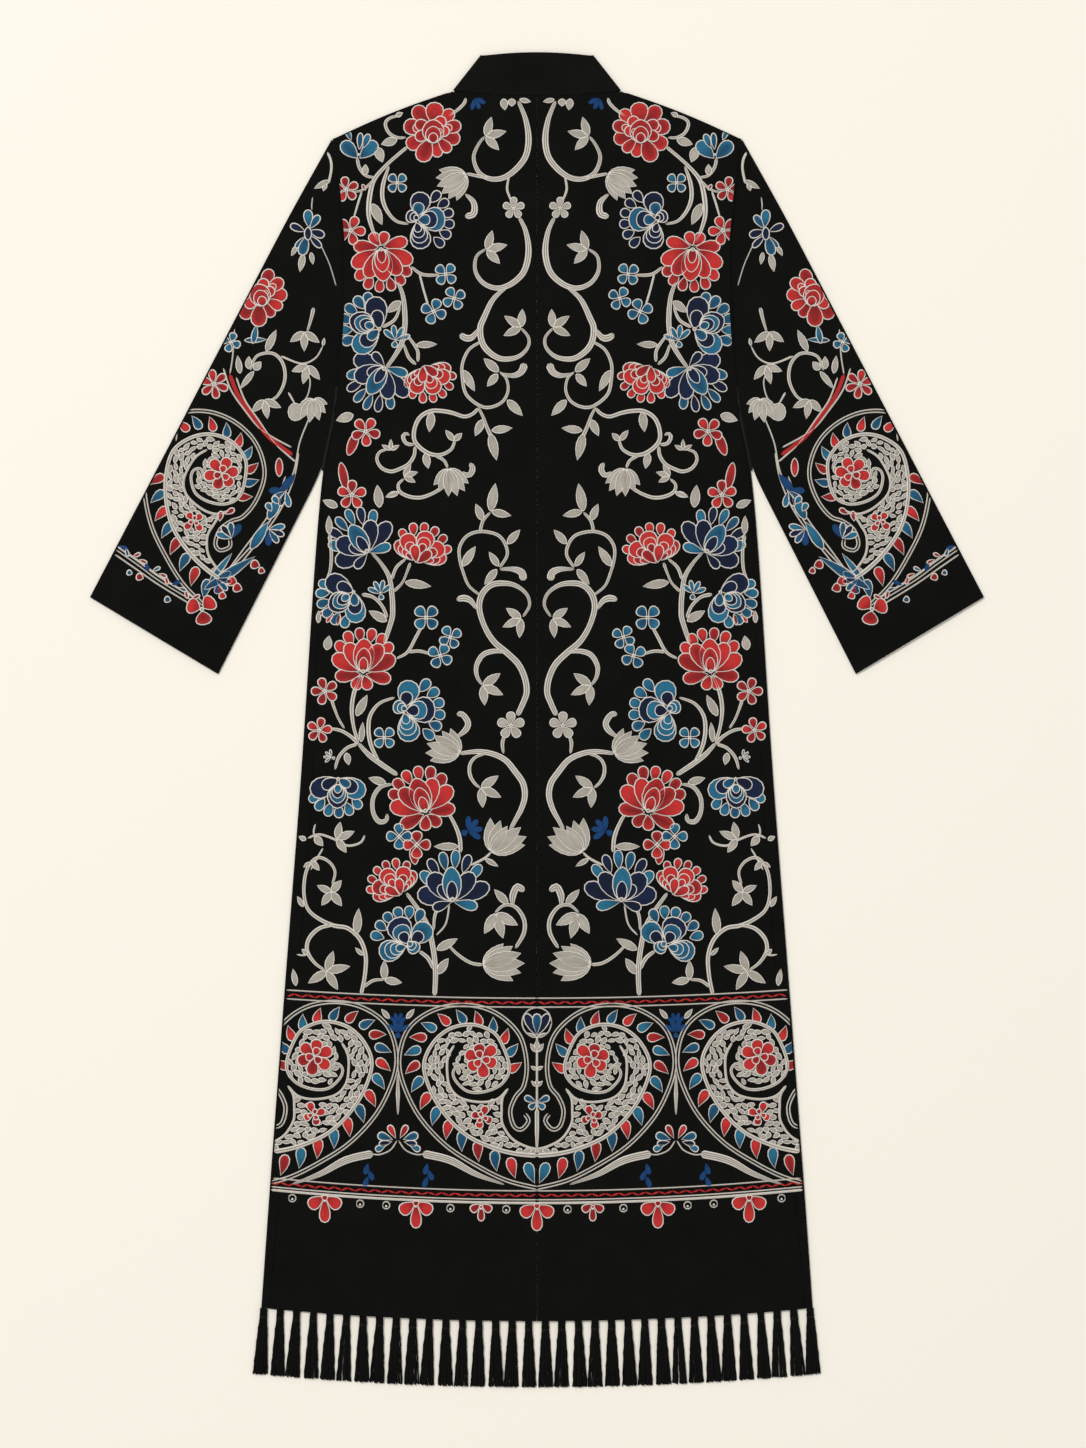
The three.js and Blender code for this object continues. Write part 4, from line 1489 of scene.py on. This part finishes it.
def lace_leaf(unit, x, y):
    """A small cream leaf that lies about round the paisley's centre."""
    scale = unit["scale"]
    around = math.degrees(math.atan2(y - PAISLEY_CENTRE[1], x - PAISLEY_CENTRE[0])) + 90
    degrees = turned(unit, around + draw.uniform(-LACE_TURN, LACE_TURN))
    length = draw.uniform(*LACE_LENGTH) * scale
    base = polar(placed(unit, (x, y)), degrees, -length / 2)
    width = draw.uniform(*LACE_WIDTH) * scale
    layer = draw.choice(LACE_LAYERS)
    pad(unit["part"], "pale", *base, degrees, length, width, layer=layer)


def lace(unit):
    """Leaves packed with gaps between them inside the paisley's heart."""
    for row in range(LACE_ROWS):
        for column in range(LACE_COLUMNS):
            x = (column + 0.5 * (row % 2)) * LACE_PITCH + draw.uniform(-LACE_SHIFT, LACE_SHIFT)
            y = LACE_FOOT + row * LACE_PITCH * LACE_ROW + draw.uniform(-LACE_SHIFT, LACE_SHIFT)
            if in_lace(x, y):
                lace_leaf(unit, x, y)


def paisley_lines(unit):
    """The double edge of a paisley, the edge of its heart and the lines in it."""
    edge = [placed(unit, place) for place in PAISLEY_EDGE]
    for offset in (LINE_PITCH, -LINE_PITCH):
        stem(unit["part"], "cream", edge, (1.9,), offset=offset * unit["scale"])
    lines = ((PAISLEY_HEART, (5, 4, 4, 3.4, 3)), (CHANNEL, (2.6,)), (BAND_TOP, (2.6,)))
    for line, widths in lines:
        stem(unit["part"], "cream", [placed(unit, place) for place in line], widths, layer=3)


def ring_of_drops(unit):
    """Drops leaning inward from the paisley's edge, blue and red by turns, larger at its foot."""
    scale, flip = unit["scale"], unit["flip"]
    edge = [placed(unit, place) for place in PAISLEY_EDGE[:17]]
    places = smooth_path(edge, DROP_PITCH * scale)
    for k in range(len(places) - 2):
        way = (places[k + 1] - places[k]).normalized()
        inward = Vector((-way.y, way.x)) * flip
        aim = inward * DROP_AIM[1] + way * DROP_AIM[0]
        base = places[k] + way * DROP_AHEAD + inward * DROP_INWARD
        degrees = math.degrees(math.atan2(aim.y, aim.x))
        colour = "blue" if k % 2 == 0 else "red"
        low = clamp(1 - k / len(places) * 1.6)
        size = [(upper + more * low) * scale for upper, more in (DROP_LENGTH, DROP_WIDTH)]
        pad(unit["part"], colour, *base, degrees, *size, "drop", bend=DROP_BEND * flip)


def red_flower(unit, x, y, radius, count):
    """Red petals in the lace, with three more in their middle."""
    part = unit["part"]
    centre = placed(unit, (x, y))
    reach = radius * unit["scale"]
    for k in range(count):
        angle = turned(unit, 20 + 360 * k / count)
        base = polar(centre, angle, 0.1 * reach)
        length = reach * draw.uniform(0.8, 1.05)
        pad(part, "red", *base, angle, length, 0.74 * reach, "petal", layer=4 + k % 2)
    for angle in (70, 190, 310):
        size = (0.55 * reach, 0.5 * reach)
        pad(part, "red", *centre, turned(unit, angle), *size, "round", layer=6)


for unit in PAISLEYS:
    paisley_lines(unit)
    ring_of_drops(unit)
    lace(unit)
    each(red_flower, unit, RED_FLOWERS)
for rise in (0, -BORDER_HEIGHT):
    border_line(BORDER_TOP + rise, 1.9)
    zigzag(ZIGZAG + rise)
    border_line(UNDER_ZIGZAG + rise, 1.9)
border_line(BORDER_FOOT, 3.4)

# Between the paisleys: a lamp of buds on the axis, a butterfly at the next axis

BUDS = table(
    "y degrees length width",
    (-341, 22, 13, 4.5),
    (-341, 158, 13, 4.5),
    (-357, 90, 14, 7),
    (-357, 52, 12, 6),
    (-357, 128, 12, 6),
    (-376, 30, 8, 4.5),
    (-376, 150, 8, 4.5),
    (-394, 90, 9, 4.5),
    (-394, 45, 9, 4.5),
    (-394, 135, 9, 4.5),
)
LAMP = table(
    "colour degrees length shape layer",
    ("blue", 90, 24, "drop", 2),
    ("navy", 62, 27, "round", 1),
    ("navy", 118, 27, "round", 1),
)
LAMP_RING = {"y": -325, "radius": 16, "width": 2}
AXIS_STEMS = table(
    "points widths",
    (((0, -340), (0, -380), (0, -420)), (3,)),
    (((0, -418), (0, -440), (0, -466)), (5, 5, 2)),
)
CROSS = table("degrees length", (24, 15), (156, 15), (-38, 11), (-142, 11))

each(pad, "axis", BUDS, x=0, colour="pale", layer=1)
each(pad, "axis", LAMP, x=0, y=-339, width=11)
ring_line("axis", 0, **LAMP_RING)
each(stem, "axis", AXIS_STEMS, colour="cream")
each(pad, "axis", CROSS, x=0, y=-411, colour="blue", width=8, shape="drop", layer=1)

BUTTERFLY = table(
    "colour x y degrees length width",
    ("red", 2, -450, 62, 17, 8),
    ("blue", 5, -451, 18, 18, 10),
    ("navy", 6, -453, -12, 15, 8),
    ("blue", 12, -456, -28, 14, 8),
)
BUTTERFLY_STEMS = table(
    "points widths",
    (((1, -452), (8, -462), (20, -467), (29, -466)), (2,)),
    (((27, -466), (56, -473), (84, -488), (114, -499)), (9, 8.5, 6, 2)),
)
TUFT = table("y degrees", (-476, -75), (-483, -115), (-490, -70))
TUFT_STITCH = {"colour": "royal", "length": 13, "width": 6.5, "shape": "petal", "tone": 0.2}
TENDRIL = ((PERIOD, -380), (PERIOD, -402), (PERIOD, -424))


def butterfly_half(side):
    """Wings, stems, a blue tuft and a leaf on one side of the second axis."""
    for wing in BUTTERFLY:
        degrees = wing["degrees"] if side > 0 else 180 - wing["degrees"]
        base = (PERIOD + side * wing["x"], wing["y"])
        size = (wing["length"], wing["width"])
        pad("border", wing["colour"], *base, degrees, *size, "drop", layer=1)
    for row in BUTTERFLY_STEMS:
        points = [(PERIOD + side * x, y) for x, y in row["points"]]
        stem("border", "cream", points, row["widths"])
    each(pad, "border", TUFT, x=PERIOD + side * 32, **TUFT_STITCH)
    pad("border", "pale", PERIOD + side * 9, -321, 90 - side * 40, 14, 6, layer=1)


for side in (-1, 1):
    butterfly_half(side)
sprig("border", PERIOD, -335, 90, 14)
sprig("border", PERIOD, -325, 90, 11)
stem("border", "cream", TENDRIL, (2, 5, 2))

# Below the border: hanging red flowers and small loops

HANGING_TOP = -520.5
HANGING = table(
    "part x size tone",
    ("axis", 0, 1, 0.2),
    ("border", 130, 1, 0.2),
    ("border", 228, 1, 0.2),
    ("border", 60, 0.66, 1.0),
)
HANGING_DROPS = table("degrees length width", (-90, 29, 13), (-34, 21, 15), (-146, 21, 15))
LOOPS = (33, 93, 162, 190, 263)
LOOP_Y = -526


def hanging_flower(part, x, size, tone):
    """Three red drops with a heart and an eye over them."""
    top = border_y(x, HANGING_TOP)
    for drop in HANGING_DROPS:
        length, width = drop["length"] * size, drop["width"] * size
        pad(part, "red", x, top, drop["degrees"], length, width, "drop", layer=1, tone=tone)
    pad(part, "red", x, top - 6, 90, 8 * size, 8 * size, "heart", layer=2)
    dot(part, "pale", x, top - 5, 2.6, layer=3)


for row in HANGING:
    hanging_flower(**row)
for x in LOOPS:
    ring_line("border", x, border_y(x, LOOP_Y), 4.0, 1.8)
    dot("border", "pale", x, border_y(x, LOOP_Y - 1), 2.8)

# Sleeve

SLEEVE_BLOSSOMS = table(
    "x y radius turn colour count",
    (347, 361, 16, 20, "red", 6),
    (360, 119, 17, -100, "red", 3),
    (329, 406, 11, 20, "blue", 4),
)
SLEEVE_PETALS = table(
    "colour x y degrees length width shape layer",
    ("blue", 245, 529, 86, 20, 11, "petal", 1),
    ("blue", 244, 528, 125, 18, 9, "petal", 2),
    ("navy", 245, 526, 198, 18, 10, "petal", 1),
    ("navy", 249, 525, 24, 18, 9, "petal", 1),
    ("blue", 247, 521, -74, 23, 12, "petal", 2),
    ("navy", 245, 521, -135, 19, 8, "petal", 1),
    ("blue", 249, 520, -50, 17, 7, "petal", 1),
    ("navy", 246, 530, -90, 15, 9, "oval", 4),
    ("pale", 251, 501, -79, 20, 8, "leaf", 1),
    ("pale", 243, 503, -100, 14, 6, "leaf", 0),
    ("pale", 258, 510, -62, 13, 6, "leaf", 0),
    ("blue", 315, 408, 178, 25, 7, "leaf", 1),
    ("blue", 305, 404, 100, 21, 8, "leaf", 2),
    ("blue", 318, 402, 30, 12, 6, "leaf", 0),
    ("blue", 358, 140, 147, 66, 12, "leaf", 1),
    ("blue", 308, 183, 123, 36, 12, "leaf", 2),
    ("blue", 289, 215, 117, 32, 12, "leaf", 1),
    ("royal", 275, 246, 130, 24, 9, "leaf", 2),
    ("blue", 352, 148, 128, 40, 8, "leaf", 2),
    ("blue", 285, 224, 60, 11, 8, "round", 3),
    ("blue", 277, 232, 50, 11, 8, "round", 3),
    ("red", 341, 213, 100, 12, 7, "petal", 3),
    ("red", 335, 221, 150, 12, 7, "petal", 3),
)
SLEEVE_DOTS = table(
    "colour x y size",
    ("blue", 397, 128, 8),
    ("blue", 438, 157, 7),
    ("red", 427, 152, 9),
    ("red", 342, 138, 11),
    ("red", 338, 132, 9),
    ("red", 328, 147, 12),
    ("red", 322, 140, 11),
    ("red", 303, 165, 11),
    ("red", 296, 159, 8),
)
SLEEVE_STEMS = table(
    "points widths",
    (((337, 378), (329, 355), (314, 333), (295, 311), (264, 293)), (2.4,)),
    (((323, 368), (314, 344), (299, 322), (282, 298), (259, 277)), (2.4,)),
    (((372, 338), (384, 322), (388, 300)), (3, 2)),
    (((227, 613), (222, 603), (221, 592), (224, 577)), (3.5,)),
    (((241, 562), (242, 555), (242, 548)), (1.8,)),
    (((233, 512), (223, 490), (216, 467)), (1.6,)),
    (((457, 186), (431, 168), (405, 149), (368, 127)), (1.8,)),
    (((456, 190), (430, 172), (404, 153), (367, 131)), (3,)),
    (((458, 181), (432, 163), (406, 145), (370, 123)), (2.2,)),
    (((338, 146), (312, 176), (279, 220), (262, 257), (256, 287)), (2,)),
    (((346, 142), (318, 180), (286, 224), (270, 262)), (2,)),
    (((308, 376), (301, 391), (284, 394), (273, 383), (271, 365), (279, 348), (290, 342)), (3, 4, 4, 3)),
    (((275, 391), (253, 383), (238, 389), (230, 402)), (3, 2)),
    (((247, 417), (243, 430), (240, 443)), (2.5, 5)),
    (((325, 420), (327, 391), (330, 372)), (2,)),
    (((252, 381), (244, 366), (246, 350), (252, 340)), (2,)),
    (((245, 324), (255, 298), (262, 265), (279, 228), (301, 194), (338, 154)), (2,)),
    (((267, 352), (262, 343), (258, 336)), (3, 2)),
)
SLEEVE_LEAVES = table(
    "x y degrees length width",
    (291, 396, 115, 26, 9),
    (319, 372, 82, 20, 7.5),
    (310, 377, 92, 14, 8),
    (304, 376, 130, 12, 9),
    (304, 375, -52, 25, 7),
    (230, 402, 100, 9, 4),
    (229, 612, -67, 26, 10),
    (223, 580, -28, 19, 7),
    (227, 578, -75, 10, 6),
)
SLEEVE_TRIOS = table("x y turn", (293, 344, -100), (250, 417, -90), (246, 381, -75))
SLEEVE_TULIP = ((200, 16), (230, 20), (255, 24), (280, 26), (305, 26), (330, 20))
SLANTING_BAND = ((330, 371), (321, 349), (306, 327), (288, 304), (263, 285))
CUFF_TUFTS = table("x y turn", (270, 246, -60), (288, 205, -150), (328, 195, 60), (345, 152, 200))
TUFT_PETALS = table("spread colour", (-42, "blue"), (-8, "navy"), (26, "blue"), (62, "royal"))
CUFF_PETALS = 13
CUFF_START = (456, 190)
CUFF_STEP = (7.1, 5.0)
CUFF_STAGGER = 2.5
CUFF_COLOURS = ("red", "royal", "blue", "red")


def cuff_petal(k):
    """One of the small petals beside the pointed band at the cuff."""
    colour = CUFF_COLOURS[k % len(CUFF_COLOURS)]
    x = CUFF_START[0] - CUFF_STEP[0] * k
    y = CUFF_START[1] - CUFF_STEP[1] * k + CUFF_STAGGER * (k % 3)
    pad("sleeve", colour, x, y, 205 + 50 * (k % 3 - 1), 10, 5, "petal", layer=2)


def cuff_tuft(part, x, y, turn):
    """Four petals in blues beside the paisley."""
    for petal in TUFT_PETALS:
        pad(part, petal["colour"], x, y, turn + petal["spread"], 18, 8, "petal", layer=1)


flower("sleeve", "rose", 298, 456, radius=30, turn=-20, colours="red")
each(blossom, "sleeve", SLEEVE_BLOSSOMS)
each(pad, "sleeve", SLEEVE_PETALS)
for row in SLEEVE_DOTS:
    size = row["size"]
    pad("sleeve", row["colour"], row["x"] - size / 2, row["y"], 20, size, size, "round", layer=1)
each(stem, "sleeve", SLEEVE_STEMS, colour="cream")
stem("sleeve", "scarlet", SLANTING_BAND, (5,))
for k in range(CUFF_PETALS):
    cuff_petal(k)
each(pad, "sleeve", SLEEVE_LEAVES, colour="pale", layer=1)
each(trio, "sleeve", SLEEVE_TRIOS, spread=55, size=21)
tulip("sleeve", 240, 345, SLEEVE_TULIP)
pad("sleeve", "pale", 246, 331, 0, 22, 20, "round")
pad("sleeve", "red", 277, 282, -90, 21, 9, "oval", layer=1)
each(cuff_tuft, "sleeve", CUFF_TUFTS)

# The sleeve's edge is caught to the body's side above the underarm
CAUGHT_ASIDE = 0.0006
CAUGHT = range(268, 361, 13)
caught = [((blend_at(BODY_HALF, "x", y * MILLI) + CAUGHT_ASIDE) / MILLI, y) for y in CAUGHT]
stem("underarm", "black", caught, (3,))

for (panel, colour), stitches in threadwork.items():
    bmesh.ops.recalc_face_normals(stitches, faces=stitches.faces)
    thread = threads[colour]
    finished(f"{panel}_{colour}_stitching", stitches, thread["finish"])

# Tassels

TASSELS = 34
TASSEL_PITCH = 0.0178
TASSEL_LENGTH = 0.0715
TASSEL_TOP_HALF = 0.0034
TASSEL_END_HALF = 0.0079
TASSEL_LEAN = 3.3
TASSEL_SWAY = 0.8
SWAY_STEP = 2.4
TASSEL_MIDDLE = 0.0026  # height of its middle at the hem
TASSEL_TUCK = 0.0003  # how far it starts under the hem
WAIST = 0.12  # how much narrower it is under the knot, where and how far
WAIST_AT = 0.16
WAIST_SPAN = 0.1
TWIST = 0.00035
TWISTS = 6.0
KNOT_DOWN = 0.0095
KNOT = (0.0036, 0.0022, 0.0019)
THREAD_COUNT = 46
THREAD_RADIUS = 0.00062
THREAD_SPREAD = 0.0009
THREAD_ROOT = 0.0002
END_HEAP = 0.0030  # how high the ends lie over each other, and how much less at the sides
END_FALL = 0.0014
END_UNEVEN = 0.0020


def thread_template():
    """One thread along Z, from its root at 0 to its end at 1."""
    rod = bmesh.new()
    bmesh.ops.create_cone(rod, cap_ends=True, segments=4, radius1=1, radius2=1, depth=1)
    sides = [edge for edge in rod.edges if abs(edge.verts[0].co.z - edge.verts[1].co.z) > 0.5]
    bmesh.ops.subdivide_edges(rod, edges=sides, cuts=9, use_grid_fill=True)
    bmesh.ops.translate(rod, verts=rod.verts, vec=(0, 0, 0.5))
    mesh = bpy.data.meshes.new("rod")
    rod.to_mesh(mesh)
    rod.free()
    return mesh


def knot_template():
    """The knot under the hem."""
    knot = bmesh.new()
    bmesh.ops.create_uvsphere(knot, u_segments=16, v_segments=9, radius=1)
    bmesh.ops.scale(knot, vec=KNOT, verts=knot.verts)
    bmesh.ops.translate(knot, vec=(0, -KNOT_DOWN, TASSEL_MIDDLE), verts=knot.verts)
    mesh = bpy.data.meshes.new("knot")
    knot.to_mesh(mesh)
    knot.free()
    return mesh


ROD = thread_template()
KNOT_MESH = knot_template()


def add_thread(bundle):
    """One thread of a tassel that hangs from its root at the hem, along -Y."""
    aside = draw.uniform(-1, 1)
    height = TASSEL_MIDDLE + draw.uniform(-1, 1) * THREAD_SPREAD
    root = Vector((aside * TASSEL_TOP_HALF, THREAD_ROOT, height))
    low = THREAD_RADIUS + draw.uniform(0, 1) * (END_HEAP - END_FALL * aside * aside)
    tip = draw.uniform(0.0, END_UNEVEN) - TASSEL_LENGTH
    end = Vector((aside * TASSEL_END_HALF, tip, low))
    phase = draw.uniform(0, 2 * math.pi)
    first = len(bundle.verts)
    bundle.from_mesh(ROD)
    bundle.verts.ensure_lookup_table()
    for vertex in bundle.verts[first:]:
        share = vertex.co.z
        place = root.lerp(end, share)
        waist = 1 - WAIST * math.exp(-(((share - WAIST_AT) / WAIST_SPAN) ** 2))
        place.x = place.x * waist + TWIST * math.sin(2 * math.pi * TWISTS * share + phase)
        offset = Vector((vertex.co.x * THREAD_RADIUS, 0, vertex.co.y * THREAD_RADIUS))
        vertex.co = place + offset


def tassel(index):
    """A bundle of threads with its knot, leaning a little outward."""
    share = 2 * index / (TASSELS - 1) - 1
    x = share * TASSEL_PITCH * (TASSELS - 1) / 2
    hem = HEM_MIDDLE + (HEM_SIDE - HEM_MIDDLE) * (x / HEM_HALF) ** 2
    lean = math.radians(TASSEL_LEAN * share + TASSEL_SWAY * math.sin(SWAY_STEP * index))
    cosine, sine = math.cos(lean), math.sin(lean)
    bundle = bmesh.new()
    for _ in range(THREAD_COUNT):
        add_thread(bundle)
    bundle.from_mesh(KNOT_MESH)
    for vertex in bundle.verts:
        a, b, z = vertex.co
        vertex.co = (x + a * cosine - b * sine, hem - TASSEL_TUCK + a * sine + b * cosine, z)
    bmesh.ops.recalc_face_normals(bundle, faces=bundle.faces)
    name = f"tassel_{index + 1:02d}"
    piece = finished(name + "_threads", bundle, tassel_thread)
    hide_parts(name)


for index in range(TASSELS):
    tassel(index)

# Light, camera and the sizes

lamp = bpy.data.lights.new("window", "AREA")
lamp.shape = "DISK"
lamp.size = WINDOW["size"]
lamp.energy = WINDOW["power"]
lamp.color = WINDOW["colour"]
window = bpy.data.objects.new("window", lamp)
window.location = WINDOW["place"]
window.rotation_euler = (-Vector(WINDOW["place"])).to_track_quat("-Z", "Y").to_euler()
bpy.context.scene.collection.objects.link(window)

world = bpy.data.worlds.new("studio")
world.use_nodes = True
background = world.node_tree.nodes["Background"]
background.inputs["Color"].default_value = SKY
background.inputs["Strength"].default_value = SKY_STRENGTH
bpy.context.scene.world = world
bpy.context.scene.view_settings.view_transform = "Standard"

camera_data = bpy.data.cameras.new("camera")
camera_data.lens = LENS
camera_data.sensor_width = SENSOR
camera = bpy.data.objects.new("camera", camera_data)
distance = PICTURE_HEIGHT * PIXEL * LENS / SENSOR
camera.location = (*PICTURE_CENTRE, distance + PICTURE_LEVEL)
bpy.context.scene.collection.objects.link(camera)
bpy.context.scene.camera = camera
